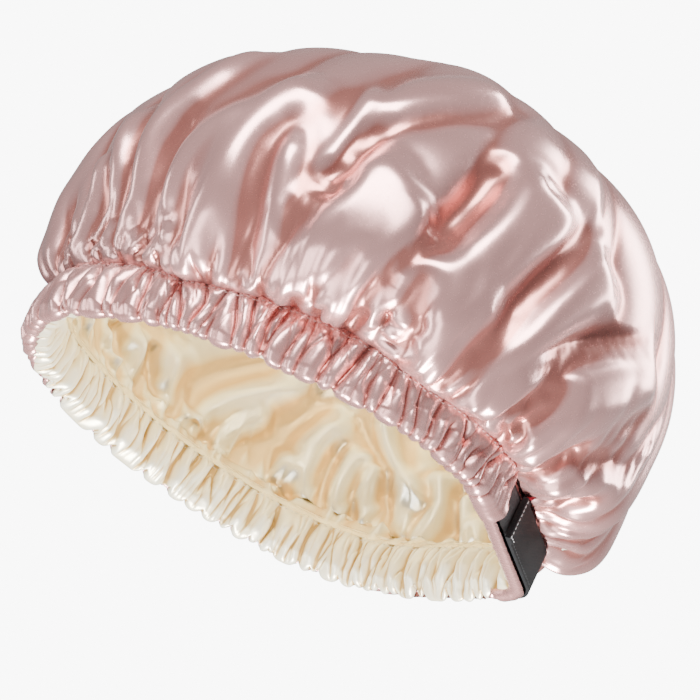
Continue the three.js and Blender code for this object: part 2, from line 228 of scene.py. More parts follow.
class Tracing:
    """Finds the place on one side of a smooth form that shows at a pixel of the photograph."""

    def __init__(self, form, near):
        self.round_share = np.arange(TRACE_COLUMNS) / TRACE_COLUMNS
        points = form(self.round_share[None, :], np.linspace(0, 2, FORM_STEPS)[:, None])
        walked = walk(points)
        self.up_share = walked / walked[-1]
        scale = FOCAL_PIXELS / (DISTANCE - points @ back)
        self.x = PHOTO_PIXELS / 2 + (points @ right + SHIFT_RIGHT) * scale
        self.y = PHOTO_PIXELS / 2 - (points @ above + SHIFT_UP) * scale
        facing = np.einsum("ijk,ijk->ij", outward(points), DISTANCE * back - points) > 0
        self.hidden = facing != near

    def place(self, pixel):
        """Share round from the nape and share up to the apex."""
        gap = (self.x - pixel[0]) ** 2 + (self.y - pixel[1]) ** 2
        gap[self.hidden] = np.inf
        row, column = np.unravel_index(gap.argmin(), gap.shape)
        return round(self.round_share[column], TRACE_DIGITS), round(self.up_share[row, column], TRACE_DIGITS)

    def folds(self, drawn):
        """The same folds with shares for pixels, and metres for millimetres."""
        folds = []
        for pixels, height, width, *past in drawn:
            folds.append(([self.place(pixel) for pixel in pixels] + sum(past, []), height, width))
        return in_metres(folds)


class Ply:
    """One ply of the crown on a grid: rows climb from the seam towards the apex, columns go round."""

    def __init__(self, columns, rows, form):
        self.columns, self.rows = columns, rows
        self.share = np.arange(columns) / columns
        self.climb = (np.arange(rows) / rows) ** ROW_CROWDING
        turns = np.linspace(0, 2, FORM_STEPS)
        fine = form(self.share[None, :], turns[:, None])
        walked = walk(fine)
        self.reach = walked[-1]
        self.base = np.empty((rows, columns, 3))
        self.turn = np.empty((rows, columns))
        for column in range(columns):
            wanted = self.climb * self.reach[column]
            self.turn[:, column] = np.interp(wanted, walked[:, column], turns)
            for axis in range(3):
                self.base[:, column, axis] = np.interp(wanted, walked[:, column], fine[:, column, axis])
        self.outward = outward(self.base)

    def widths(self):
        """Distance between neighbouring columns on the smooth form, row by row."""
        return np.linalg.norm(np.roll(self.base, -1, axis=1) - self.base, axis=-1)


def crease_shape(x):
    """A sharp line with soft sides."""
    return 0.7 * np.exp(-x) + 0.3 * np.exp(-(x**2))


def hollow_shape(x):
    """A soft valley."""
    return np.exp(-(x**2))


def crest_shape(x):
    """A rounded fold with a narrow back."""
    return 0.5 * np.exp(-(x**1.6)) + 0.5 * np.exp(-((0.5 * x) ** 2))


def finger_shape(x):
    """A raised fold with a rather flat top."""
    return np.exp(-(x**2.7))


# A fold is narrow at the seam, NARROW_FOOT of its width, and reaches that width at WIDE_CLIMB. Its height
# dies away over the last share of its length.
NARROW_FOOT, WIDE_CLIMB = 0.45, 0.14
FOLD_REACH, FOLD_STEPS = 4, 90
FOLD_TAIL, FADE_ROUNDNESS = 0.35, 0.6


def fold_lines(ply, folds, shape, tail=FOLD_TAIL):
    """Height of a list of folds on a ply: each has its places, its height and its half width."""
    flat = ply.base.reshape(-1, 3)
    climb = np.repeat(ply.climb, ply.columns)
    narrow = mix(NARROW_FOOT, 1, smooth(climb, 0, WIDE_CLIMB))
    total = np.zeros(len(flat))
    for places, height, width in folds:
        line, fade = fold_path(ply, places, tail)
        low, high = line.min(axis=0) - FOLD_REACH * width, line.max(axis=0) + FOLD_REACH * width
        close = ((flat > low) & (flat < high)).all(axis=1)
        patch = flat[close]
        near = np.full(len(patch), np.inf)
        strength = np.zeros(len(patch))
        for point, f in zip(line, fade):
            gap = np.linalg.norm(patch - point, axis=1)
            closer = gap < near
            near = np.where(closer, gap, near)
            strength = np.where(closer, f, strength)
        total[close] += height * strength * shape(near / (width * narrow[close]))
    return total.reshape(ply.rows, ply.columns)


def fold_path(ply, places, tail):
    """Points along a fold, from (share round, share up) places, and its strength along the way."""
    knots = np.array(places, float)
    t = np.linspace(0, 1, FOLD_STEPS)
    own = np.linspace(0, 1, len(knots))
    round_share = np.interp(t, own, knots[:, 0]) % 1
    up_share = np.interp(t, own, knots[:, 1])
    row = np.clip(up_share ** (1 / ROW_CROWDING) * ply.rows, 0, ply.rows - 1)
    column = round_share * ply.columns
    r0, c0 = np.floor(row).astype(int), np.floor(column).astype(int)
    r1, c1 = np.minimum(r0 + 1, ply.rows - 1), (c0 + 1) % ply.columns
    c0 = c0 % ply.columns
    fr, fc = (row - np.floor(row))[:, None], (column - np.floor(column))[:, None]
    base = ply.base
    line = mix(mix(base[r0, c0], base[r0, c1], fc), mix(base[r1, c0], base[r1, c1], fc), fr)
    return line, np.clip((1 - t) / tail, 0, 1) ** FADE_ROUNDNESS


# Settling: a few steps of relaxation, with forces as shares of what each thread is out of place.
SETTLE_STEPS = 5
NORMALS_EVERY = 4
PUSH = 0.001 * MM
STIFFNESS = 0.2
DIAGONAL_STIFFNESS = 0.3 * STIFFNESS
BENDING = 0.01
DRAG = 0.9


def settle(ply, start, fullness, low, high):
    """Lets the cloth settle: it keeps its own lengths, bends softly and is pushed out by what fills it."""
    around_form = ply.widths()
    disc = 2 * math.pi * ply.reach[None, :] * (1 - ply.climb[:, None]) / ply.columns
    around = np.clip(disc, around_form, around_form * fullness[:, None])
    up = np.linalg.norm(np.diff(ply.base, axis=0), axis=-1)
    diagonal = np.sqrt(around[:-1] ** 2 + up**2)
    x = start.copy()
    speed = np.zeros_like(x)
    for step in range(SETTLE_STEPS):
        if step % NORMALS_EVERY == 0:
            normal = outward(x)
        force = PUSH * normal
        force += STIFFNESS * pull_around(x, around)
        force += STIFFNESS * pull_up(x, up, 0)
        force += DIAGONAL_STIFFNESS * pull_up(x, diagonal, 1)
        force += DIAGONAL_STIFFNESS * pull_up(x, diagonal, -1)
        force -= BENDING * stiff_around(x)
        force[2:-2] -= BENDING * stiff_up(x)
        force[0] = 0
        speed = DRAG * speed + force
        x += speed
        x[0] = start[0]
        lift = np.einsum("ijk,ijk->ij", x - ply.base, ply.outward)
        over = np.clip(lift, low, high) - lift
        x += over[..., None] * ply.outward
    return x


def pull_along(delta, rest):
    length = np.linalg.norm(delta, axis=-1)
    return delta * ((length - rest) / np.maximum(length, SHORTEST))[..., None]


def pull_around(x, rest):
    pull = pull_along(np.roll(x, -1, axis=1) - x, rest)
    return pull - np.roll(pull, 1, axis=1)


def pull_up(x, rest, way):
    """Pull between rows: straight up, or along one diagonal by way 1 or -1."""
    pull = pull_along(np.roll(x[1:], -way, axis=1) - x[:-1], rest)
    total = np.zeros_like(x)
    total[:-1] += pull
    total[1:] -= np.roll(pull, way, axis=1)
    return total


def stiff_around(x):
    bend = np.roll(x, -1, axis=1) - 2 * x + np.roll(x, 1, axis=1)
    return np.roll(bend, -1, axis=1) - 2 * bend + np.roll(bend, 1, axis=1)


def stiff_up(x):
    return x[:-4] - 4 * x[1:-3] + 6 * x[2:-2] - 4 * x[3:-1] + x[4:]


def refine(values):
    """Doubles a grid both ways as a smooth spline surface does; its first and last rows stay."""
    ahead, behind = np.roll(values, -1, axis=1), np.roll(values, 1, axis=1)
    wide = np.empty((values.shape[0], 2 * values.shape[1]) + values.shape[2:])
    wide[:, 0::2] = (behind + 6 * values + ahead) / 8
    wide[:, 1::2] = (values + ahead) / 2
    tall = np.empty((2 * wide.shape[0] - 1,) + wide.shape[1:])
    tall[0::2] = wide
    tall[2:-2:2] = (wide[:-2] + 6 * wide[1:-1] + wide[2:]) / 8
    tall[1::2] = (wide[:-1] + wide[1:]) / 2
    return tall


# Folds of the crown that the photograph shows, each from its foot at the seam to where it dies away. Each
# has its points in pixels of the photograph, picked there or shifted since, its height and half
# width in millimetres, and for a fold that runs past the outline its last places, as shares round and up.
FINGER_PIXELS = [
    ([(122, 262), (126, 225), (134, 190), (146, 150), (175, 115), (215, 85), (270, 57)], 4, 7),
    ([(150, 268), (155, 235), (163, 200), (183, 162), (215, 132), (255, 108)], 2.5, 5),
    ([(185, 278), (200, 225), (222, 172), (248, 135), (281, 106), (323, 86)], 4.5, 9),
    ([(256, 296), (262, 262), (272, 220), (282, 175), (298, 135)], 2.5, 5),
    ([(268, 290), (278, 255), (292, 222), (310, 190), (335, 160), (358, 130), (383, 91)], 2.5, 4),
    ([(288, 300), (305, 267), (334, 229), (373, 194), (411, 171)], 4, 10),
    ([(387, 112), (420, 101), (460, 99), (506, 105)], 3, 9),
    ([(325, 318), (350, 292), (380, 258), (408, 225), (424, 204)], 5.5, 9.5),
    ([(380, 325), (398, 290), (425, 255), (450, 240)], 2, 4),
    ([(395, 321), (434, 291), (462, 262), (495, 235), (523, 208), (544, 188)], 5, 9),
    ([(430, 325), (465, 298), (505, 268), (540, 240), (563, 208)], 4.5, 7),
    ([(421, 371), (440, 352), (468, 322), (495, 302)], 4, 5.5),
    ([(460, 388), (504, 353), (545, 315), (585, 290), (609, 277)], 5.5, 10.5),
    ([(465, 425), (490, 402), (530, 385), (580, 374), (625, 372), (650, 368)], 4, 7),
    ([(490, 448), (526, 427), (577, 411), (625, 398), (652, 384)], 3.5, 6),
    ([(500, 458), (525, 452), (552, 452)], 3, 5),
    ([(535, 480), (560, 486), (580, 484)], 3, 5),
    ([(72, 266), (80, 235), (88, 205), (96, 175), (104, 150)], 3, 5),
    ([(96, 268), (99, 240), (104, 215), (112, 180), (125, 140), (140, 112)], 3, 5),
]
HOLLOW_PIXELS = [
    ([(134, 272), (143, 235), (148, 205), (158, 170), (172, 140), (200, 113)], 6, 5),
    ([(162, 257), (167, 235), (172, 222)], 4, 3),
    ([(240, 298), (243, 270), (250, 225), (258, 185), (268, 145), (299, 105)], 4, 5),
    ([(263, 287), (274, 244), (285, 214), (299, 174), (311, 129)], 3, 4),
    ([(323, 178), (341, 181), (354, 183)], 4, 4),
    ([(303, 322), (325, 298), (345, 275), (365, 252)], 5, 4.5),
    ([(361, 332), (374, 311), (393, 284)], 6, 4),
    ([(396, 341), (408, 310), (421, 277)], 7, 6),
    ([(445, 238), (465, 217), (485, 195), (503, 161)], 6, 7),
    ([(425, 400), (455, 375), (487, 347), (519, 314), (542, 283), (565, 258), (593, 224)], 6, 5),
    ([(445, 405), (494, 383), (528, 365), (569, 355), (608, 348), (645, 350)], 5, 4.5),
    ([(485, 438), (510, 418), (540, 402), (568, 389)], 7, 5),
    ([(547, 466), (572, 461), (587, 450)], 4, 5),
    ([(530, 505), (565, 507), (600, 497)], 5, 5),
    ([(86, 268), (92, 240), (97, 215), (100, 190), (107, 159)], 4, 4),
    ([(72, 277), (70, 235), (76, 210), (81, 179)], 5, 4.5, [(0.48, 0.24), (0.5, 0.34)]),
]
CREASE_PIXELS = [
    ([(268, 305), (273, 285), (285, 255), (300, 222), (320, 197), (338, 170), (358, 146), (374, 121),
      (395, 87)], 6, 3),
    ([(173, 260), (171, 236), (185, 215), (203, 183), (224, 148)], 4, 2.5),
    ([(351, 150), (372, 139), (402, 127), (440, 121), (487, 119), (520, 117), (539, 119)], 4, 4),
    ([(335, 335), (352, 312), (378, 281), (402, 261), (425, 243), (449, 224)], 6, 3),
    ([(383, 343), (398, 335), (420, 318), (445, 300), (472, 280), (498, 259), (524, 237)], 6, 3),
    ([(497, 466), (525, 463), (545, 468), (580, 463), (612, 462), (636, 465)], 6, 4),
    ([(104, 268), (107, 245), (112, 222), (120, 190), (130, 155), (143, 125)], 7, 4.5,
     [(0.443, 0.34), (0.47, 0.43)]),
]

# Broad swells, which run past the outline, with their (share round, share up) places listed.
SWELL_SHARES = [
    ([(0.01, 0.2), (0.06, 0.24)], 4, 24),
    ([(0.03, 0.33), (0.0, 0.36)], 1.5, 20),
    ([(0.27, 0.70), (0.30, 0.72)], 2.5, 22),
    ([(0.43, 0.12), (0.50, 0.20), (0.56, 0.25)], -4.5, 26),
    ([(0.37, 0.68), (0.425, 0.6), (0.43, 0.5)], -2.5, 20),
    ([(0.215, 0.5), (0.17, 0.5)], 2.5, 20),
]


def in_metres(folds):
    return [(places, depth * MM, width * MM) for places, depth, width in folds]


# How a run of free folds is spread: spacing round, in shares, and ranges of height and half width in
# millimetres and of length in shares.
LOOSE_SHARES = (0.014, (3, 6), (3.5, 7), (0.08, 0.6))
FINE_SHARES = (0.007, (0.4, 1.3), (1.3, 2.6), (0.06, 0.4))
LINING_LOOSE_SHARES = (0.02, (3, 6), (3.5, 7), (0.08, 0.6))
LINING_FINE_SHARES = (0.009, (0.5, 1.4), (1.6, 3.0), (0.05, 0.3))
FREE_FOLD_POINTS = 5
UNEVEN_SPACING = (0.6, 1.5)
SHORT_BIAS = 1.6
LEAN_SHARE, BOW_SHARE = 0.03, 0.01


def free_folds(rng, low_share, high_share, spread):
    """Folds where the photograph shows none in particular, of uneven spacing, length, width and slant."""
    spacing, heights, widths, lengths = spread
    folds = []
    foot = low_share
    while foot < high_share:
        foot += spacing * rng.uniform(*UNEVEN_SPACING)
        length = mix(*lengths, rng.uniform() ** SHORT_BIAS)
        lean = rng.uniform(-LEAN_SHARE, LEAN_SHARE)
        bow = rng.uniform(-BOW_SHARE, BOW_SHARE)
        places = []
        for t in np.linspace(0, 1, FREE_FOLD_POINTS):
            places.append((foot + lean * t + bow * math.sin(math.pi * t), length * t))
        folds.append((places, rng.uniform(*heights), rng.uniform(*widths)))
    return in_metres(folds)


# Main folds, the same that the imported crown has: creases from these feet, each leaning as it climbs.
FOLD_FOOT_SHARES = [0.012, 0.058, 0.108, 0.172, 0.212, 0.262, 0.314, 0.362, 0.414, 0.466,
                    0.53, 0.58, 0.632, 0.68, 0.735, 0.79, 0.845, 0.9, 0.955]
FOLD_LEAN_SHARES = [0, -0.01, -0.02, -0.022, -0.016, -0.022, -0.014, -0.012, -0.016, -0.01,
                    0.01, 0.02, 0.01, 0.03, 0.02, -0.01, -0.02, 0.01, 0]
FOLD_DEPTH = 9 * MM
FOLD_WIDE_SHARE = 0.06
CREST_RISE_SHARE = 0.5
CREST_ROUNDNESS = 0.8
LEANT_TURN, SWELL_FULL_TURN, SWELL_FADE_TURN = 1.2, 0.5, 1.1


def main_swell(share, turn):
    """Height of the main folds over the smooth form: round crests between the creases."""
    feet = np.array(FOLD_FOOT_SHARES)
    leans = np.array(FOLD_LEAN_SHARES)
    total = np.full(turn.shape, -1.0)
    leant = smooth(turn, 0, LEANT_TURN)
    for i in range(len(feet)):
        after = (i + 1) % len(feet)
        left = feet[i] + leans[i] * leant
        right = feet[after] + (after == 0) + leans[after] * leant
        gap = (share - left) % 1
        inside = gap < right - left
        t = gap / (right - left)
        height = np.minimum(1, (right - left) / FOLD_WIDE_SHARE)
        crest = height * np.sin(math.pi * np.clip(t, 0, 1)) ** CREST_ROUNDNESS
        total = np.where(inside, crest + CREST_RISE_SHARE - 1, total)
    fade = smooth(turn, 0, SWELL_FULL_TURN) * (1 - smooth(turn, SWELL_FADE_TURN, 2))
    return FOLD_DEPTH * total * fade


OUTER_LIFT = 1.0 * MM
OUTER_LOW, OUTER_HIGH = -12 * MM, 7 * MM
OUTER_SEED, LINING_SEED = 7, 21
SETTLE_DROP, SETTLE_PLAY = 2 * MM, 0.2 * MM
FINGER_STRENGTH, HOLLOW_STRENGTH, LINING_STRENGTH = 1.8, 1.7, 1.3
SEEN_FROM, SEEN_TO, SEEN_BLEND = 0.04, 0.49, 0.02
SEEN_SWELL_STRENGTH = 0.35
FOOT_RISE, LINING_FOOT_RISE = 0.05, 0.03
FINGER_TAIL, SWELL_TAIL, LINING_TAIL = 0.12, 0.01, 0.2
FOOT_FULLNESS, FULLNESS, FULL_FROM = 1.08, 1.16, 0.1


def soft_limit(values, low, high):
    """Bends heights smoothly into a range."""
    return np.where(values > 0, high * np.tanh(values / high), low * np.tanh(values / low))


def crown_outer():
    """The rose ply: laid out with its folds and left to settle."""
    ply = Ply(CROWN_COLUMNS, CROWN_ROWS, crown_form)
    seen = Tracing(crown_form, near=True)
    rng = np.random.default_rng(OUTER_SEED)
    wild = free_folds(rng, SEEN_TO, 1 + SEEN_FROM, LOOSE_SHARES)
    height = FINGER_STRENGTH * fold_lines(ply, seen.folds(FINGER_PIXELS), finger_shape, FINGER_TAIL)
    height -= HOLLOW_STRENGTH * fold_lines(ply, seen.folds(HOLLOW_PIXELS), hollow_shape)
    height += fold_lines(ply, in_metres(SWELL_SHARES), hollow_shape, SWELL_TAIL)
    height -= fold_lines(ply, seen.folds(CREASE_PIXELS) + wild[1::3], crease_shape)
    height += fold_lines(ply, wild[::3], finger_shape) - fold_lines(ply, wild[2::3], hollow_shape)
    shown = smooth(ply.share, SEEN_FROM - SEEN_BLEND, SEEN_FROM + SEEN_BLEND)
    shown *= 1 - smooth(ply.share, SEEN_TO - SEEN_BLEND, SEEN_TO + SEEN_BLEND)
    height += mix(1, SEEN_SWELL_STRENGTH, shown)[None, :] * main_swell(ply.share[None, :], ply.turn)
    rise = smooth(ply.climb, 0, FOOT_RISE)[:, None]
    lift = (OUTER_LIFT + soft_limit(height, OUTER_LOW, OUTER_HIGH)) * rise
    lift -= fold_lines(ply, free_folds(rng, 0, 1, FINE_SHARES), crease_shape) * rise
    start = ply.base + lift[..., None] * ply.outward
    fullness = mix(FOOT_FULLNESS, FULLNESS, smooth(ply.climb, 0, FULL_FROM))
    low = (OUTER_LOW - SETTLE_DROP) * rise - SETTLE_PLAY
    high = OUTER_HIGH * rise + SETTLE_PLAY
    return ply, settle(ply, start, fullness, low, high)


SEAM_GATHER_REACH = 34 * MM
SEAM_GATHER_BAND = [0, 0.12, 0.35, 1.2], [0.25, 1, 0.8, 0]
SLOW_COLUMNS = 10


def grid_climb(ply, points):
    """Share up to the apex of each row of a ply's doubled grid."""
    return np.interp(np.arange(len(points)) / 2, np.arange(ply.rows), ply.climb)


def seam_gathers(ply, points, seed):
    """Short uneven pleats that spring from the seam and run out into the folds above it."""
    pleats = Pleats(seed, spacing=4.6 * MM, depth=2.6 * MM, width=0.8 * MM, skirt=2.2 * MM)
    columns = points.shape[1]
    along = np.arange(columns) / columns * rim.length
    height = grid_climb(ply, points) * ply.reach.mean() / SEAM_GATHER_REACH
    sunk = pleats.depth(along, 1 - height)
    sunk -= band_average(sunk, SLOW_COLUMNS)
    return points - (sunk * up_band(height, *SEAM_GATHER_BAND))[..., None] * outward(points)


# Heights of the seam that the photograph shows, by distance along the rim, in millimetres.
SEAM_PLACES = [35, 45, 60, 79, 89, 101, 112, 121, 130, 142, 165, 180, 200, 215]
SEAM_HEIGHTS = [21, 21, 20, 17.5, 17.5, 16.5, 15.5, 17, 19, 21, 21, 18.5, 17.5, 20]
DIP_SHIFT, DIP_SHIFT_LIMIT = 1.2, 2.4 * MM
FOOT_SHIFT, FOOT_DROP = 2.9 * MM, 1.6 * MM
SAG_CLIMB = 0.11
LINING_FOOT_OFFSET, LINING_FOOT_HEIGHT = 1.2 * MM, 19.8 * MM


def seam_dip(along):
    """How far the seam hangs below the casing's height, in metres."""
    places, heights = np.array(SEAM_PLACES) * MM, np.array(SEAM_HEIGHTS) * MM
    return CASING_HEIGHT - np.interp(along, places, heights, CASING_HEIGHT, CASING_HEIGHT)


def dip_shift(dip):
    """How far out the seam stands where it hangs low, clear of the elastic behind it."""
    return np.minimum(dip * DIP_SHIFT, DIP_SHIFT_LIMIT)


def sag_to_seam(ply, points):
    """Lets the outer ply's foot hang to the seam."""
    columns = points.shape[1]
    along = rim.share(np.arange(columns) / columns)
    share = (1 - smooth(grid_climb(ply, points), 0, SAG_CLIMB))[:, None]
    dip = seam_dip(along)
    down = (dip + FOOT_DROP)[:, None]
    shift = rim.outward(along) * (FOOT_SHIFT + dip_shift(dip))[:, None] + np.array([0, 0, -1]) * down
    return points + share[..., None] * shift[None]


def tuck(points):
    """Runs the lining's foot down past the seam, so that the plies overlap there."""
    columns = points.shape[1]
    along = rim.share(np.arange(columns) / columns)
    foot = rim.point(along, LINING_FOOT_OFFSET, LINING_FOOT_HEIGHT)
    return np.concatenate([foot[None], (0.5 * foot + 0.5 * points[0])[None], points], axis=0)


def hollowness(points, reaches, ring=True):
    """How deep each point of a grid lies below its surroundings, in metres, at several reaches."""
    normal = outward(points)
    total = np.zeros(points.shape[:2])
    for reach in reaches:
        around = np.zeros_like(points)
        for step in (-reach, -reach // 2, reach // 2, reach):
            around += np.roll(points, step, axis=1) / 4
        above_point = np.einsum("ijk,ijk->ij", around - points, normal)
        if not ring:
            above_point[:, :reach] = 0
            above_point[:, -reach:] = 0
        total += above_point
    return total


LINING_LOW, LINING_HIGH = -14 * MM, 6 * MM
LINING_CLEARANCE = 1.5 * MM
LINING_WILD_FROM, LINING_WILD_TO = -0.05, 0.60
CLEARANCE_REACH = 4

# Folds of the lining that show through the opening, in the same form as the crown's.
LINING_CREST_PIXELS = [
    ([(172, 455), (182, 432), (198, 412), (222, 400), (250, 393), (280, 391), (312, 389)], 9, 5),
    ([(205, 470), (215, 448), (228, 436), (250, 424), (275, 420)], 7, 5),
    ([(305, 510), (302, 480), (309, 452), (326, 434), (352, 420)], 9, 6),
    ([(385, 425), (389, 447), (396, 467), (406, 486), (418, 499), (430, 515)], 8, 2.5),
    ([(405, 540), (402, 515), (410, 497), (425, 478), (442, 466)], 6, 7),
    ([(430, 548), (442, 530), (449, 512), (448, 494), (438, 478)], 8, 4),
    ([(338, 540), (337, 512), (344, 490), (356, 472), (376, 458)], 9, 5),
    ([(368, 545), (365, 515), (371, 492), (384, 470)], 7, 4),
    ([(108, 405), (122, 375), (130, 350), (133, 328)], 7, 4),
    ([(140, 425), (152, 400), (163, 370), (170, 340)], 8, 6),
    ([(94, 385), (100, 355), (103, 325)], 5, 3),
    ([(162, 440), (178, 425), (190, 418)], 5, 3),
    ([(470, 550), (468, 530), (470, 510), (474, 496)], 6, 4),
    ([(490, 560), (486, 540), (482, 522)], 5, 3),
    ([(262, 505), (264, 485), (278, 468), (292, 455)], 6, 4),
]
LINING_HOLLOW_PIXELS = [
    ([(250, 480), (262, 455), (285, 432), (318, 405), (345, 395)], 5, 10),
    ([(195, 395), (225, 378), (262, 365), (290, 350)], 5, 9),
    ([(117, 395), (117, 365), (116, 340), (114, 322)], 5, 4),
    ([(458, 548), (457, 525), (458, 502), (462, 488)], 5, 4),
    ([(355, 525), (353, 500), (358, 480), (366, 465)], 4, 4),
    ([(148, 395), (147, 370), (150, 340)], 4, 4),
    ([(320, 520), (322, 490), (330, 465), (345, 445)], 4, 4),
    ([(388, 520), (388, 495), (388, 475)], 4, 4),
]


def local_low(values, reach):
    """The lowest value within a few rows and columns of each place."""
    low = values.copy()
    for step in range(1, reach + 1):
        low = np.minimum(low, np.minimum(np.roll(values, step, axis=1), np.roll(values, -step, axis=1)))
    across = low.copy()
    for step in range(1, reach + 1):
        across[step:] = np.minimum(across[step:], low[:-step])
        across[:-step] = np.minimum(across[:-step], low[step:])
    return across


def crown_lining(outer_points):
    """The champagne ply: it hangs loose inside the rose one and keeps clear of it."""
    ply = Ply(CROWN_COLUMNS, CROWN_ROWS, lining_form)
    seen = Tracing(lining_form, near=False)
    rng = np.random.default_rng(LINING_SEED)
    wild = free_folds(rng, LINING_WILD_FROM, LINING_WILD_TO, LINING_LOOSE_SHARES)
    height = fold_lines(ply, seen.folds(LINING_HOLLOW_PIXELS), hollow_shape, LINING_TAIL)
    height -= fold_lines(ply, seen.folds(LINING_CREST_PIXELS), crest_shape, LINING_TAIL)
    height = LINING_STRENGTH * height - fold_lines(ply, wild, hollow_shape)
    height += fold_lines(ply, free_folds(rng, 0, 1, LINING_FINE_SHARES), crease_shape)
    room = np.einsum("ijk,ijk->ij", outer_points - ply.base, ply.outward)
    room = local_low(room, CLEARANCE_REACH) - LINING_CLEARANCE
    lift = soft_limit(height, LINING_LOW, LINING_HIGH) * smooth(ply.climb, 0, FOOT_RISE)[:, None]
    lift = np.minimum(lift, room * smooth(ply.climb, 0, LINING_FOOT_RISE)[:, None])
    return ply, ply.base + lift[..., None] * ply.outward


def add_mesh(name, points, faces):
    mesh = bpy.data.meshes.new(name)
    mesh.from_pydata(np.asarray(points).reshape(-1, 3).tolist(), [], faces)
    mesh.update()
    mesh.shade_smooth()
    return add_object(name, mesh)


def add_object(name, content):
    made = bpy.data.objects.new(name, content)
    bpy.context.scene.collection.objects.link(made)
    return made


def grid_faces(rows, columns, ring=True, flip=False):
    """Faces of a grid, joined round its last column where it is a ring."""
    faces = []
    for row in range(rows - 1):
        for column in range(columns if ring else columns - 1):
            after = (column + 1) % columns
            face = (row * columns + column, (row + 1) * columns + column,
                    (row + 1) * columns + after, row * columns + after)
            faces.append(face[::-1] if flip else face)
    return faces


def crown_mesh(name, points, flip=False):
    """A crown ply's mesh, closed at the apex."""
    rows, columns = points.shape[:2]
    apex = points[-1].mean(axis=0)
    faces = grid_faces(rows, columns, flip=flip)
    last = (rows - 1) * columns
    for column in range(columns):
        face = (last + column, rows * columns, last + (column + 1) % columns)
        faces.append(face[::-1] if flip else face)
    return add_mesh(name, np.vstack([points.reshape(-1, 3), apex]), faces)


# Casing: heights and offsets of its plies, counted outwards from the head.
CASING_COLUMNS = 2200
OUTER_ROWS, LINING_ROWS = 30, 34
SEAM_ROW, LINING_SEAM_ROW = 26, 29
OUTER_SLOW_COLUMNS, LINING_SLOW_COLUMNS = 24, 26
NEAR_MOUTH, FAR_MOUTH = 56.92 * MM, -51.92 * MM
POCKET_FADE, BURIED = 20 * MM, 18 * MM
NEAR_POCKET, FAR_POCKET = 1.4 * MM, 3.2 * MM
SEAM_TOP = 22.4 * MM

# Gathers: some start late and some stop early, and their sizes are spread round the band's own. Their lean
# and bow are in millimetres.
LATE_CHANCE, LATE_START = 0.2, (0.3, 0.65)
EARLY_CHANCE, EARLY_STOP = 0.18, (0.35, 0.75)
PAST_FOOT, PAST_TOP, END_FADE = -0.4, 1.4, 0.2
PLEAT_LEAN, PLEAT_BOW = 3.0, (0.2, 1.6)
DEPTH_SPREAD, WIDTH_SPREAD, SPACING_SPREAD = (0.35, 1.4), (0.6, 1.7), (0.4, 1.6)
BOW_RADIANS, SKIRT_REACH = 5, 4
VALLEY_SHARE, SKIRT_SHARE, VALLEY_ROUNDNESS = 0.55, 0.45, 1.2


class Pleats:
    """Uneven gathers round the rim: valleys at random places, lengths, slants and depths."""

    def __init__(self, seed, spacing, depth, width, skirt):
        rng = np.random.default_rng(seed)
        self.skirt = skirt
        self.valleys = []
        place = 0.0
        while place < rim.length:
            bottom, top = PAST_FOOT, PAST_TOP
            kind = rng.uniform()
            if kind < LATE_CHANCE:
                bottom = rng.uniform(*LATE_START)
            elif kind < LATE_CHANCE + EARLY_CHANCE:
                top = rng.uniform(*EARLY_STOP)
            lean = rng.uniform(-PLEAT_LEAN, PLEAT_LEAN) * MM
            bow = rng.uniform(*PLEAT_BOW) * MM * rng.choice([-1, 1])
            sizes = rng.uniform(*DEPTH_SPREAD) * depth, rng.uniform(*WIDTH_SPREAD) * width
            self.valleys.append((place, lean, bow, *sizes, bottom, top, rng.uniform(0, 2 * math.pi)))
            place += spacing * rng.uniform(*SPACING_SPREAD)

    def depth(self, along, climb):
        """Depth at distances along the band (columns) and shares up it (rows)."""
        total = np.zeros((len(climb), len(along)))
        for place, lean, bow, depth, width, bottom, top, phase in self.valleys:
            centre = place + lean * (2 * climb - 1) + bow * np.sin(phase + BOW_RADIANS * climb)
            gap = along[None, :] - centre[:, None]
            gap = (gap + rim.half) % rim.length - rim.half
            near = np.abs(gap).min(axis=0) < SKIRT_REACH * self.skirt
            ends = smooth(climb, bottom - END_FADE, bottom + END_FADE)
            ends *= 1 - smooth(climb, top - END_FADE, top + END_FADE)
            x = np.abs(gap[:, near])
            shape = VALLEY_SHARE * np.exp(-((x / width) ** VALLEY_ROUNDNESS))
            shape += SKIRT_SHARE * np.exp(-((x / self.skirt) ** 2))
            total[:, near] += depth * ends[:, None] * shape
        return total


def band_average(values, columns):
    """Slow change of a band's depth along it, by a running mean over the columns."""
    padded = np.concatenate([values[:, -columns:], values, values[:, :columns]], axis=1)
    total = np.cumsum(padded, axis=1)
    total = np.concatenate([np.zeros((len(values), 1)), total], axis=1)
    span = 2 * columns + 1
    return (total[:, span:] - total[:, :-span]) / span


def up_band(climb, places, values):
    """A value for each row of a band, from its values at some shares up it."""
    return np.interp(climb, places, values)[:, None]


def blended_profile(climb, first, second, share):
    """Offset and height up a band, from (share, offset, height) knots in millimetres; share blends two."""
    first, second = np.array(first).T, np.array(second).T
    return [mix(up_band(climb, first[0], first[i]) * MM, up_band(climb, second[0], second[i]) * MM, share)
            for i in (1, 2)]


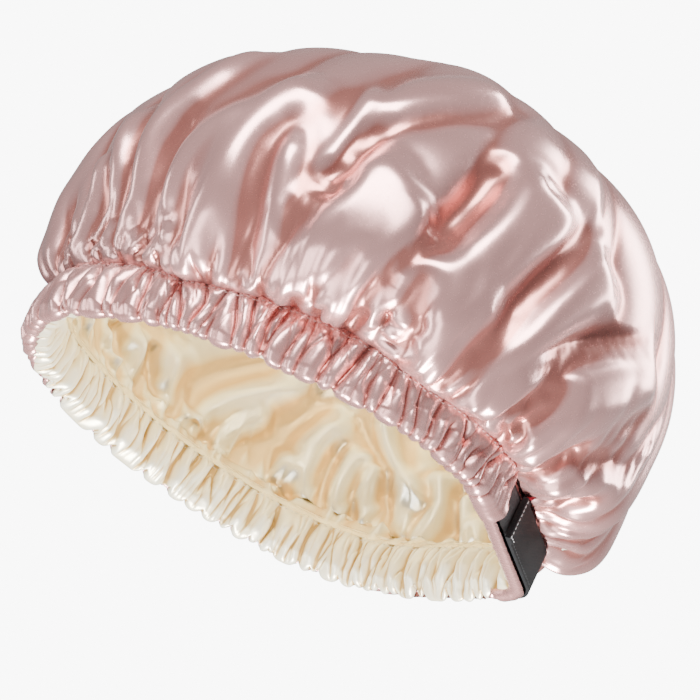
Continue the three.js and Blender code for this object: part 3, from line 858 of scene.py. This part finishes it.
OUTER_TOP = [(0.5, 6.9, 10.5), (0.8, 6.5, 17.2)]
LINING_TOP = [(0.5, -1.4, 10.5), (0.8, -0.2, 17.0), (0.93, 1.2, 20.0), (1, 4.4, 22.6)]
FLAT_TOP = [(0.8, 3.8, 17.5), (0.93, 4.4, 20.4), (1, 4.2, 22.2)]
OUTER_PROFILE = [(0, 4.1, 1.0), (0.04, 4.9, 0.7), (0.09, 5.6, 1.4), (0.2, 6.4, 3.6), *OUTER_TOP,
                 (0.93, 5.9, 20.4), (1, 5.2, 22.2)]
OUTER_NEAR_PROFILE = [(0, -0.6, 1.6), (0.04, 1.2, -0.4), (0.09, 4.6, -0.6), (0.2, 6.6, 2.6), *OUTER_TOP,
                      (0.93, 6.0, 20.4), (1, 5.2, 22.2)]
LINING_PROFILE = [(0, 4.2, 1.2), (0.03, 4.3, 0.3), (0.07, 3.4, 0.0), (0.12, 1.6, 0.6), (0.25, -0.6, 4.0),
                  *LINING_TOP]
LINING_NEAR_PROFILE = [(0, 2.2, 2.4), (0.03, 1.9, 1.6), (0.07, 1.2, 1.3), (0.12, 0.2, 1.9),
                       (0.25, -0.8, 4.0), *LINING_TOP]
FLAT_PROFILE = [(0, 4.2, -0.8), (0.05, 4.6, -0.7), (0.1, 4.7, 0.4), (0.2, 4.2, 1.5), (0.42, 3.8, 4.0),
                *FLAT_TOP]
FLAT_NEAR_PROFILE = [(0, 0.6, 2.8), (0.06, 0.8, 0.2), (0.12, 2.4, -0.3), (0.2, 4.6, -0.2), (0.25, 6.4, 0.3),
                     (0.29, 6.6, 1.1), (0.33, 5.6, 1.5), (0.38, 3.9, 1.7), (0.42, 3.8, 3.0), *FLAT_TOP]
OUTER_PLEATS = Pleats(11, spacing=4.7 * MM, depth=3.4 * MM, width=0.55 * MM, skirt=1.9 * MM)
FINE_PLEATS = Pleats(17, spacing=2.6 * MM, depth=0.7 * MM, width=0.35 * MM, skirt=0.8 * MM)
LINING_PLEATS = Pleats(5, spacing=5.6 * MM, depth=4.2 * MM, width=0.9 * MM, skirt=2.6 * MM)

OUTER_ALONG = NEAR_MOUTH + np.linspace(0, 1, CASING_COLUMNS) * (rim.length - NEAR_MOUTH + FAR_MOUTH)
LINING_ALONG = np.arange(CASING_COLUMNS) / CASING_COLUMNS * rim.length
BROW_BULGE, BROW_START, BROW_FULL = 2.2 * MM, 150 * MM, 215 * MM
WRAP_STARTS, WRAP_ENDS = (0.97, 0.985), (0.5, 0.58)
HEM_PLACE, HEM_OUTER_SHARES, HEM_LINING_SHARE = 0.05, (0.45, 1.0), 0.55
FINE_SHARE, LINING_FINE_SHARE, TOP_SHARE = 0.5, 1.3, 0.15
OUTER_SOFTNESS, LINING_SOFTNESS = 0.4 * MM, 0.3 * MM
LOWEST_OUTER, LOWEST_NEAR, LOWEST_LINING = 0.35 * MM, -2.2 * MM, -2.6 * MM
FLAT_MARGIN, FLAT_COLUMNS, FLAT_ROWS = 6 * MM, 500, 20
FLAT_MEAN, FLAT_SHARE = 0.2 * MM, 0.35
BUNCH_PLACE, BUNCH_WIDTH, BUNCH_DROP = -9 * MM, 6 * MM, 0.6 * MM
BUNCH_RISE, BUNCH_DEPTH = 2.2, 0.9
DROOP, DROOP_START, DROOP_FULL = 1.4 * MM, 0.87, 0.92

# Strength of what shapes the casing, at shares up it. The floors and the ceiling are in millimetres.
POCKET_BAND = [0, 0.08, 0.16, 0.85, 1], [0, 0.2, 1, 1, 0]
GATHER_BAND = [0, 0.08, 0.3, 0.8, 1], [0.5, 0.75, 1, 0.9, 0.18]
FLOOR_BAND = [0, 0.1, 0.16, 0.9, 1], [3.4, 3.9, 4.5, 4.5, 3.8]
NEAR_FLOOR_BAND = [0, 0.06, 0.16, 0.9, 1], [-1.2, 1.2, 4.5, 4.5, 4.2]
BULGE_BAND = [0, 0.6, 1], [1, 1, 0]
DIP_BAND = [0, 0.6, 1], [0, 0, 1]
HEM_BAND = [0, 0.15, 1], [1, 0, 0]
TOP_BAND = [0, 0.85, 1], [0, 0, 1]
BUNCH_BAND = [0, 0.3, 0.4], [1, 1, 0]
LINING_EDGE_BAND = [0, 0.08, 0.16], [1, 0.9, 0]
LINING_GATHER_BAND = [0, 0.06, 0.14, 0.3, 0.8, 0.93, 1], [0, 0.1, 0.6, 1, 0.95, 0.35, 0]
LINING_CEILING_BAND = [0, 0.08, 0.14, 1], [9, 6, 2.5, 2.5]
LINING_BULGE_BAND = [0, 0.1, 0.2], [1, 1, 0]


def brow_bulge(along):
    """The casing stands further out round the forehead."""
    return BROW_BULGE * smooth(np.abs(rim.share(along / rim.length)), BROW_START, BROW_FULL)[None, :]


def near_side(along):
    """Where the rose ply wraps under the hem: the strap's side, and a little beyond the far mouth."""
    share = (along / rim.length) % 1
    return (1 - smooth(share, *WRAP_ENDS) + smooth(share, *WRAP_STARTS))[None, :]


def hem_wave(along):
    """How far the hem is drawn in by the gathers, the same for both plies."""
    depth = OUTER_PLEATS.depth(along, np.array([HEM_PLACE]))
    return depth - depth.mean()


def keep_above(values, floor, softness):
    """Bends values smoothly so that they stay above a floor."""
    return floor + 0.5 * (values - floor + np.sqrt((values - floor) ** 2 + softness**2))


def casing_outer():
    """The rose ply of the casing: gathered from the near mouth round to the far one."""
    along = OUTER_ALONG
    climb = np.linspace(0, 1, OUTER_ROWS)
    depth = OUTER_PLEATS.depth(along, climb)
    depth += FINE_SHARE * FINE_PLEATS.depth(along, climb)
    depth -= band_average(depth, OUTER_SLOW_COLUMNS)
    near = near_side(along)
    offset, height = blended_profile(climb, OUTER_PROFILE, OUTER_NEAR_PROFILE, near)
    lift = NEAR_POCKET * (1 - smooth(along - along[0], BURIED, BURIED + POCKET_FADE))
    lift = lift + FAR_POCKET * (1 - smooth(along[-1] - along, BURIED, BURIED + POCKET_FADE))
    lift = lift[None, :] * up_band(climb, *POCKET_BAND)
    offsets = offset - depth * up_band(climb, *GATHER_BAND) + lift
    floor = mix(up_band(climb, *FLOOR_BAND), up_band(climb, *NEAR_FLOOR_BAND), near)
    offsets = keep_above(offsets, floor * MM + lift, OUTER_SOFTNESS)
    offsets += brow_bulge(along) * up_band(climb, *BULGE_BAND)
    dip = seam_dip(along)[None, :]
    offsets += up_band(climb, *DIP_BAND) * dip_shift(dip)
    hem = mix(*HEM_OUTER_SHARES, near) * up_band(climb, *HEM_BAND) * hem_wave(along)
    top = TOP_SHARE * up_band(climb, *TOP_BAND) * depth
    heights = height * ((SEAM_TOP - dip) / SEAM_TOP) + hem - top
    return rim.point(along[None, :], offsets, np.maximum(heights, mix(LOWEST_OUTER, LOWEST_NEAR, near)))


def casing_flat():
    """The stretch of the rose ply that lies smooth under the strap, between the casing's mouths."""
    length = NEAR_MOUTH - FAR_MOUTH + 2 * FLAT_MARGIN
    along = FAR_MOUTH - FLAT_MARGIN + np.linspace(0, 1, FLAT_COLUMNS) * length
    climb = np.linspace(0, 1, FLAT_ROWS)
    offset, height = blended_profile(climb, FLAT_PROFILE, FLAT_NEAR_PROFILE, near_side(along))
    wrinkles = FINE_PLEATS.depth(along, climb) - FLAT_MEAN
    bunched = np.exp(-(((along - BUNCH_PLACE) / BUNCH_WIDTH) ** 2))[None, :]
    bunched = bunched * up_band(climb, *BUNCH_BAND)
    heights = height + BUNCH_RISE * bunched * wrinkles - BUNCH_DROP * bunched
    return rim.point(along[None, :], offset - (FLAT_SHARE + BUNCH_DEPTH * bunched) * wrinkles, heights)


def casing_lining():
    """The champagne ply of the casing, on the head's side; its edge rolls out under the hem."""
    along = LINING_ALONG
    climb = np.linspace(0, 1, LINING_ROWS)
    depth = LINING_PLEATS.depth(along, climb)
    depth += LINING_FINE_SHARE * FINE_PLEATS.depth(along, climb)
    depth -= band_average(depth, LINING_SLOW_COLUMNS)
    far = 1 - near_side(along)
    offset, height = blended_profile(climb, LINING_PROFILE, LINING_NEAR_PROFILE, near_side(along))
    edge = up_band(climb, *LINING_EDGE_BAND)
    wave = hem_wave(along) * edge
    offsets = offset - HEM_LINING_SHARE * wave * far + depth * up_band(climb, *LINING_GATHER_BAND)
    ceiling = up_band(climb, *LINING_CEILING_BAND) * MM
    offsets = -keep_above(-offsets, -ceiling, LINING_SOFTNESS)
    offsets += brow_bulge(along) * up_band(climb, *LINING_BULGE_BAND)
    droop = DROOP * smooth((along / rim.length) % 1, DROOP_START, DROOP_FULL)[None, :] * edge
    return rim.point(along[None, :], offsets, np.maximum(height + far * (wave - droop), LOWEST_LINING))


class Term:
    """A number, colour or vector in a material's nodes, so that its maths is written as plain sums."""

    def __init__(self, tree, socket):
        self.tree, self.socket = tree, socket

    def node(self, kind, inputs=(), output=0, **settings):
        """Adds a node of any kind and gives back one of its outputs."""
        made = self.tree.nodes.new(kind)
        for name, value in settings.items():
            setattr(made, name, value)
        for key, value in dict(inputs).items():
            if isinstance(value, Term):
                self.tree.links.new(value.socket, made.inputs[key])
            else:
                made.inputs[key].default_value = value
        return Term(self.tree, made.outputs[output])

    def maths(self, operation, other=0.0):
        """Adds a Math node, on this term alone or with another."""
        return self.node("ShaderNodeMath", {0: self, 1: other}, operation=operation)

    def __add__(self, other):
        return self.maths("ADD", other)

    def __mul__(self, other):
        return self.maths("MULTIPLY", other)

    def __sub__(self, other):
        return self.maths("SUBTRACT", other)

    def __rsub__(self, other):
        return self.node("ShaderNodeMath", {0: other, 1: self}, operation="SUBTRACT")

    __radd__ = __add__
    __rmul__ = __mul__

    def between(self, low, high):
        """Share of the way from low to high, kept between 0 and 1."""
        return self.node("ShaderNodeMapRange", {0: self, 1: low, 2: high, 3: 0.0, 4: 1.0}, clamp=True)

    def blend(self, *colours):
        """Colour between two others, by this share."""
        first, second = (colour if isinstance(colour, Term) else (*colour, 1) for colour in colours)
        return self.node("ShaderNodeMix", {0: self, 6: first, 7: second}, output=2, data_type="RGBA")

    def noise(self, scale, detail=2.0):
        """Noise over the part, with this term as its place."""
        return self.node("ShaderNodeTexNoise", {"Vector": self, "Scale": scale, "Detail": detail})


class Look:
    """A new material with its surface shader, and the place that its patterns are laid out from."""

    def __init__(self, name):
        self.material = bpy.data.materials.new(name)
        self.material.use_nodes = True
        tree = self.material.node_tree
        self.shader = tree.nodes["Principled BSDF"]
        self.build = Term(tree, None)
        self.place = self.build.node("ShaderNodeTexCoord", output=3)

    def set(self, name, value):
        """Gives the shader a number, or what a term works out over the surface."""
        if isinstance(value, Term):
            value.tree.links.new(value.socket, self.shader.inputs[name])
        else:
            self.shader.inputs[name].default_value = value

    def bump(self, height, strength, distance):
        """Raises the surface's shading by a height between 0 and 1."""
        inputs = {"Height": height, "Strength": strength, "Distance": distance}
        self.set("Normal", self.build.node("ShaderNodeBump", inputs))


# Fineness of the patterns on the cloths, the webbing and the threads.
CLOUD, SLUB, WEAVE, NAP, DUST, PLY = 38.0, 700.0, 3200.0, 1500.0, 160.0, 900.0


def satin(name, crest, middle, hollow, reach, metal, roughness, stretched=0.0):
    """Satin: painted shade deepens the colour in the folds and a painted highlight lightens the crests, with
    a fine weave, slubs and a soft change of gloss.
    """
    look = Look(name)
    depth = look.build.node("ShaderNodeAttribute", output=2, attribute_name="hollow")
    depth = depth + (look.place.noise(CLOUD) - 0.5) * 0.25
    # Painted highlight: the crest colour on raised folds; painted shade: the hollow colour in deep folds,
    # both by the hollow attribute.
    colour = depth.between(-0.8 * reach, 0.2 * reach).blend(crest, middle)
    look.set("Base Color", depth.between(0.2 * reach, 1.2 * reach).blend(colour, hollow))
    slub, thread = look.place.noise(SLUB), look.place.noise(WEAVE, 0.0)
    look.set("Roughness", (slub - 0.5) * 0.06 + (thread - 0.5) * 0.04 + roughness)
    look.bump(slub * 0.5 + thread * 0.5, 0.035, 0.1 * MM)
    look.set("Metallic", metal)
    look.set("Anisotropic", stretched)
    look.set("Sheen Weight", 0.12)
    look.set("Sheen Roughness", 0.4)
    return look.material


def webbing(name, colour, pitch, gloss):
    """Woven webbing: ribs across and along the strap, with a dusty nap."""
    look = Look(name)
    axes = look.build.node("ShaderNodeSeparateXYZ", {0: look.place})
    x, y, z = (Term(axes.tree, socket) for socket in axes.socket.node.outputs)
    along = x * math.sin(CLOSURE_FACING) - y * math.cos(CLOSURE_FACING)
    ribs = (along * (2 * math.pi / pitch)).maths("SINE")
    picks = (z * (2 * math.pi / (0.6 * pitch))).maths("SINE")
    nap, dust = look.place.noise(NAP, 4.0), look.place.noise(DUST, 5.0)
    weave = ribs * picks * 0.5 + 0.5
    shade = weave * 0.35 + nap * 0.4 + dust * 0.4
    pale = tuple(min(1, 2.2 * part + 0.006) for part in colour)
    look.set("Base Color", shade.between(0.35, 1.05).blend(colour, pale))
    look.set("Roughness", nap * 0.2 + gloss)
    look.bump(weave * 0.6 + nap * 0.4, 0.6, 0.2 * MM)
    look.set("Specular IOR Level", 0.15)
    return look.material


def napped(name, colour, pale, scale, depth):
    """Hooks or loops, or knitted elastic: a rough pile that catches a little light."""
    look = Look(name)
    pile = look.build.node("ShaderNodeTexVoronoi", {"Vector": look.place, "Scale": scale})
    fuzz = look.place.noise(2 * scale, 3.0)
    shade = pile * 0.6 + fuzz * 0.5
    look.set("Base Color", shade.between(0.2, 0.8).blend(colour, pale))
    look.bump(shade, 0.8, depth)
    look.set("Roughness", fuzz * 0.2 + 0.72)
    return look.material


def sewing_thread(name, colour, roughness=0.5):
    """Thread: one colour with a slight change along it."""
    look = Look(name)
    dark = tuple(0.72 * part for part in colour)
    look.set("Base Color", look.place.noise(PLY).between(0.3, 0.7).blend(dark, colour))
    look.set("Roughness", roughness)
    return look.material


def stitch_nodes():
    """Geometry nodes that lay one small stitch at each step along a line."""
    tree = bpy.data.node_groups.new("stitches", "GeometryNodeTree")
    for name, kind in (("Line", "Geometry"), ("Step", "Float"), ("Length", "Float"), ("Radius", "Float"),
                       ("Thread", "Material")):
        tree.interface.new_socket(name, in_out="INPUT", socket_type="NodeSocket" + kind)
    tree.interface.new_socket("Stitches", in_out="OUTPUT", socket_type="NodeSocketGeometry")
    kinds = {
        "given": "NodeGroupInput",
        "curve": "GeometryNodeMeshToCurve",
        "steps": "GeometryNodeResampleCurve",
        "ball": "GeometryNodeMeshUVSphere",
        "size": "ShaderNodeCombineXYZ",
        "shaped": "GeometryNodeTransform",
        "tangent": "GeometryNodeInputTangent",
        "turned": "FunctionNodeAlignRotationToVector",
        "placed": "GeometryNodeInstanceOnPoints",
        "real": "GeometryNodeRealizeInstances",
        "smoothed": "GeometryNodeSetShadeSmooth",
        "coloured": "GeometryNodeSetMaterial",
        "result": "NodeGroupOutput",
    }
    made = {name: tree.nodes.new(kind) for name, kind in kinds.items()}
    made["steps"].mode = "LENGTH"
    made["turned"].axis = "X"
    for name, value in (("Segments", 8), ("Rings", 6), ("Radius", 1.0)):
        made["ball"].inputs[name].default_value = value
    for source, output, target, given in (
        ("given", "Line", "curve", "Mesh"),
        ("curve", "Curve", "steps", "Curve"),
        ("given", "Step", "steps", "Length"),
        ("given", "Length", "size", "X"),
        ("given", "Radius", "size", "Y"),
        ("given", "Radius", "size", "Z"),
        ("ball", "Mesh", "shaped", "Geometry"),
        ("size", 0, "shaped", "Scale"),
        ("steps", "Curve", "placed", "Points"),
        ("shaped", "Geometry", "placed", "Instance"),
        ("tangent", 0, "turned", "Vector"),
        ("turned", 0, "placed", "Rotation"),
        ("placed", "Instances", "real", "Geometry"),
        ("real", "Geometry", "smoothed", "Geometry"),
        ("smoothed", "Geometry", "coloured", "Geometry"),
        ("given", "Thread", "coloured", "Material"),
        ("coloured", "Geometry", "result", "Stitches"),
    ):
        tree.links.new(made[source].outputs[output], made[target].inputs[given])
    return tree


STITCHES = stitch_nodes()


def stitch_line(name, line, body, slot, look, step, length, radius):
    """A row of stitches along points, as one finished piece that moves with its body. Sizes are in mm."""
    guide = bpy.data.meshes.new(name + " guide")
    guide.from_pydata(line.tolist(), [(i, i + 1) for i in range(len(line) - 1)], [])
    maker = add_object(name + " guide", guide)
    nodes = maker.modifiers.new("stitches", "NODES")
    nodes.node_group = STITCHES
    values = {"Step": step * MM, "Length": length * MM / 2, "Radius": radius * MM, "Thread": look}
    for item in STITCHES.interface.items_tree:
        if item.in_out == "INPUT" and item.name in values:
            nodes[item.identifier] = values[item.name]
    bpy.context.view_layer.update()
    made = maker.evaluated_get(bpy.context.evaluated_depsgraph_get())
    mesh = bpy.data.meshes.new_from_object(made)
    bpy.data.objects.remove(maker)
    piece = add_object(name, mesh)
    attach(piece, body)


DEEPEST_HOLLOW = 4


def finish_cloth(piece, look, node, hollow):
    """Gives a cloth its look and its place in the part; hollow is how deep each vertex lies in its folds,
    which sets the satin's painted shade in hollows and painted highlight on crests.
    """
    depth = piece.data.attributes.new("hollow", "FLOAT", "POINT")
    values = np.zeros(len(piece.data.vertices))
    values[: hollow.size] = np.clip(hollow.ravel() / MM, -DEEPEST_HOLLOW, DEEPEST_HOLLOW)
    depth.data.foreach_set("value", values)
    piece.data.materials.append(look)
    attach(piece, "root")
    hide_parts(node)


# Colours of the satins: painted highlight on crests, own colour between folds, painted shade in hollows;
# seeds and hollow reaches.
ROSE_PAINTED_HIGHLIGHT, DEEP_ROSE, ROSE_PAINTED_SHADE = (0.73, 0.40, 0.375), (0.66, 0.325, 0.30), (0.50, 0.19, 0.16)
CREAM_PAINTED_HIGHLIGHT, DEEP_CREAM, CREAM_PAINTED_SHADE = (1.0, 0.96, 0.80), (0.98, 0.87, 0.59), (0.86, 0.64, 0.33)
DARK_ROSE_PAINTED_SHADE, DARK_CREAM_PAINTED_SHADE = (0.38, 0.12, 0.10), (0.60, 0.40, 0.15)
WARM_CREAM_PAINTED_HIGHLIGHT, DEEP_WARM_CREAM = (1.0, 0.94, 0.74), (0.98, 0.87, 0.60)
OUTER_GATHER_SEED, LINING_GATHER_SEED = 3, 4
CROWN_REACHES, BAND_REACHES = (4, 12), (3, 8)

rose = satin("rose satin", ROSE_PAINTED_HIGHLIGHT, DEEP_ROSE, ROSE_PAINTED_SHADE,
             reach=1.2, metal=0.7, roughness=0.26, stretched=0.6)
champagne = satin("champagne satin", CREAM_PAINTED_HIGHLIGHT, DEEP_CREAM, CREAM_PAINTED_SHADE,
                  reach=1.4, metal=0.62, roughness=0.25)
gathered_rose = satin("gathered rose satin", ROSE_PAINTED_HIGHLIGHT, DEEP_ROSE, DARK_ROSE_PAINTED_SHADE,
                      reach=0.75, metal=0.68, roughness=0.27, stretched=0.6)
gathered_champagne = satin("gathered champagne satin", WARM_CREAM_PAINTED_HIGHLIGHT, DEEP_WARM_CREAM, DARK_CREAM_PAINTED_SHADE,
                           reach=0.6, metal=0.35, roughness=0.36)

# The crown: the rose ply outside, and the champagne one loose inside it.

outer_ply, outer_settled = crown_outer()
points = sag_to_seam(outer_ply, seam_gathers(outer_ply, refine(outer_settled), OUTER_GATHER_SEED))
cloth = crown_mesh("crown_outer_cloth", points)
hollow = hollowness(points, CROWN_REACHES)
finish_cloth(cloth, rose, "crown_outer", hollow)

lining_ply, lining_settled = crown_lining(outer_settled)
points = tuck(seam_gathers(lining_ply, refine(lining_settled), LINING_GATHER_SEED))
cloth = crown_mesh("crown_lining_cloth", points, flip=True)
hollow = -hollowness(points, CROWN_REACHES)
finish_cloth(cloth, champagne, "crown_lining", hollow)

# The casing: the rose ply with the stretch that lies smooth under the strap, and the champagne one.
points, flat_points = casing_outer(), casing_flat()
seam_row = points[SEAM_ROW]
faces = grid_faces(*points.shape[:2], ring=False)
first = points.shape[0] * points.shape[1]
for face in grid_faces(*flat_points.shape[:2], ring=False):
    faces.append(tuple(first + corner for corner in face))
vertices = np.vstack([points.reshape(-1, 3), flat_points.reshape(-1, 3)])
cloth = add_mesh("casing_outer_cloth", vertices, faces)
hollow = hollowness(points, BAND_REACHES, ring=False)
finish_cloth(cloth, gathered_rose, "casing_outer", hollow)

points = casing_lining()
lining_row = points[LINING_SEAM_ROW]
cloth = add_mesh("casing_lining_cloth", points, grid_faces(*points.shape[:2], flip=True))
hollow = -hollowness(points, BAND_REACHES)
finish_cloth(cloth, gathered_champagne, "casing_lining", hollow)

# Stitches: name, line, body, slot, thread, and the step, length and radius in millimetres.
STRAP_FACE, STRAP_END_FACE = 8.06 * MM, 8.78 * MM
FLAP_STITCH_PLACE, TURNED_END = 41.8 * MM, 38.2 * MM
STITCH_LOW, STITCH_HIGH, EDGE_START = 3.0 * MM, 17.6 * MM, 5 * MM
STITCH_COLUMNS = 4
seam_line = (seam_row + 0.15 * MM * rim.outward(OUTER_ALONG))[::STITCH_COLUMNS]
lining_line = (lining_row - 0.12 * MM * rim.outward(LINING_ALONG))[::STITCH_COLUMNS]
end_line = rim.point(FLAP_STITCH_PLACE, STRAP_END_FACE, np.linspace(STITCH_LOW, STITCH_HIGH, 30))
corner_line = rim.point(np.linspace(TURNED_END, FLAP_STITCH_PLACE, 20), STRAP_END_FACE, STITCH_LOW)
edge_line = rim.point(np.linspace(EDGE_START, TURNED_END, 40), STRAP_FACE, STITCH_LOW)
rose_thread = sewing_thread("rose thread", (0.62, 0.36, 0.34))
cream_thread = sewing_thread("cream thread", (0.95, 0.88, 0.72))
grey_thread = sewing_thread("grey thread", (0.42, 0.42, 0.42), 0.6)
black_thread = sewing_thread("black thread", (0.03, 0.03, 0.032), 0.6)
for row in (
    ("seam_stitches", seam_line, "root", "rose_satin", rose_thread, 2.3, 1.5, 0.2),
    ("lining_stitches", lining_line, "root", "champagne_satin", cream_thread, 2.3, 1.6, 0.16),
    ("strap_stitches", end_line, "strap", "black_webbing", grey_thread, 1.7, 1.4, 0.22),
    ("strap_corner_stitches", corner_line, "strap", "black_webbing", grey_thread, 1.7, 1.4, 0.2),
    ("strap_edge_stitches", edge_line, "strap", "black_webbing", black_thread, 2.0, 1.5, 0.13),
):
    stitch_line(*row)

# Red tab: a folded corner of ribbon, sewn under the strap, that shows past its upper edge. Its corners are
# given by distance along the rim, height and offset, in millimetres.
TAB_CORNERS = [(38.2, 17.6, 6.35), (41.7, 17.6, 6.35), (41.7, 19.2, 6.7), (40.2, 21.2, 10.6),
               (37.6, 19.2, 6.7)]
TAB_HALF_THICKNESS = 0.22 * MM
DARK_RED, RIBBON_PITCH = (0.16, 0.008, 0.016), 0.6 * MM
places, heights, offsets = np.array(TAB_CORNERS).T * MM
layers = [rim.point(places, offsets + side * TAB_HALF_THICKNESS, heights) for side in (-1, 1)]
sides = [(i, (i + 1) % 5, (i + 1) % 5 + 5, i + 5) for i in range(5)]
tab = add_mesh("pull_tab_ribbon", np.vstack(layers), [(4, 3, 2, 1, 0), (5, 6, 7, 8, 9)] + sides)
tab.data.materials.append(webbing("tab ribbon", DARK_RED, RIBBON_PITCH, 0.6))
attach(tab, "strap")
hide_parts("pull_tab")

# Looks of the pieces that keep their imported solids.
BLACK, TAPE_BLACK, DARK_PILE = (0.008, 0.0085, 0.009), (0.007, 0.0075, 0.008), (0.012, 0.012, 0.013)
LOOP_TIPS, HOOK_TIPS = (0.035, 0.035, 0.037), (0.025, 0.025, 0.027)
ELASTIC, ELASTIC_TIPS = (0.62, 0.61, 0.58), (0.86, 0.85, 0.82)
STRAP_PITCH, TAPE_PITCH, WEBBING_GLOSS = 1.1 * MM, 0.9 * MM, 0.62
LOOKS = {
    "strap_flap": webbing("strap webbing", BLACK, STRAP_PITCH, WEBBING_GLOSS),
    "strap_base": webbing("strap root webbing", BLACK, STRAP_PITCH, WEBBING_GLOSS),
    "loop_tape": webbing("tape webbing", TAPE_BLACK, TAPE_PITCH, WEBBING_GLOSS),
    "loop_pile": napped("loops", DARK_PILE, LOOP_TIPS, 1400.0, 0.4 * MM),
    "hook_patch": napped("hooks", DARK_PILE, HOOK_TIPS, 900.0, 0.5 * MM),
    "band_elastic": napped("knitted elastic", ELASTIC, ELASTIC_TIPS, 700.0, 0.3 * MM),
}
for node_name, look in LOOKS.items():
    solid = bpy.data.objects[node_name]
    solid.data.materials.clear()
    solid.data.materials.append(look)

camera = add_object("camera", bpy.data.cameras.new("camera"))
camera.data.sensor_width = SENSOR
camera.data.lens = SENSOR * FOCAL_PIXELS / PHOTO_PIXELS
eye = back * DISTANCE - right * SHIFT_RIGHT - above * SHIFT_UP
camera.matrix_world = Matrix([[right[i], above[i], back[i], eye[i]] for i in range(3)] + [[0, 0, 0, 1]])
bpy.context.scene.camera = camera

# Lights: softboxes that face one point inside the crown.
LIT_POINT = Vector((0, 0, 80 * MM))


def softbox(name, toward, distance, width, height, power):
    """A softbox that faces the bonnet from a direction, with its sizes in metres and its power in watts."""
    light = bpy.data.lights.new(name, "AREA")
    light.shape = "RECTANGLE"
    light.size, light.size_y, light.energy = width, height, power
    lamp = add_object(name, light)
    toward = Vector(toward).normalized()
    lamp.location = LIT_POINT + toward * distance
    lamp.rotation_mode = "QUATERNION"
    lamp.rotation_quaternion = toward.to_track_quat("Z", "Y")


softbox("top softbox", 0.5 * back + 0.1 * right + 0.8 * above, 1.2, 0.8, 0.5, 33)
softbox("left softbox", 0.15 * back - 1.0 * right + 0.15 * above, 1.1, 0.25, 0.9, 7)
softbox("right softbox", -0.45 * back + 0.9 * right + 0.2 * above, 1.1, 0.4, 1.0, 24)
softbox("front softbox", back - 0.5 * right - 0.25 * above, 1.2, 0.5, 0.8, 8)
softbox("under softbox", 0.45 * back - 0.9 * above - 0.15 * right, 1.0, 0.5, 0.25, 40)

# World: a dim grey that lights the part, and white for the camera to see behind it.
ROOM_GREY, WHITE = (0.1, 0.096, 0.1, 1), (1, 1, 1, 1)
ROOM_STRENGTH, BACKDROP_STRENGTH = 1.0, 9
world = bpy.data.worlds.new("studio")
bpy.context.scene.world = world
world.use_nodes = True
tree = world.node_tree
shine = tree.nodes["Background"]
shine.inputs["Color"].default_value = ROOM_GREY
shine.inputs["Strength"].default_value = ROOM_STRENGTH
seen = tree.nodes.new("ShaderNodeBackground")
seen.inputs["Color"].default_value = WHITE
seen.inputs["Strength"].default_value = BACKDROP_STRENGTH
ray = tree.nodes.new("ShaderNodeLightPath")
blend = tree.nodes.new("ShaderNodeMixShader")
tree.links.new(ray.outputs["Is Camera Ray"], blend.inputs[0])
tree.links.new(shine.outputs[0], blend.inputs[1])
tree.links.new(seen.outputs[0], blend.inputs[2])
tree.links.new(blend.outputs[0], tree.nodes["World Output"].inputs[0])
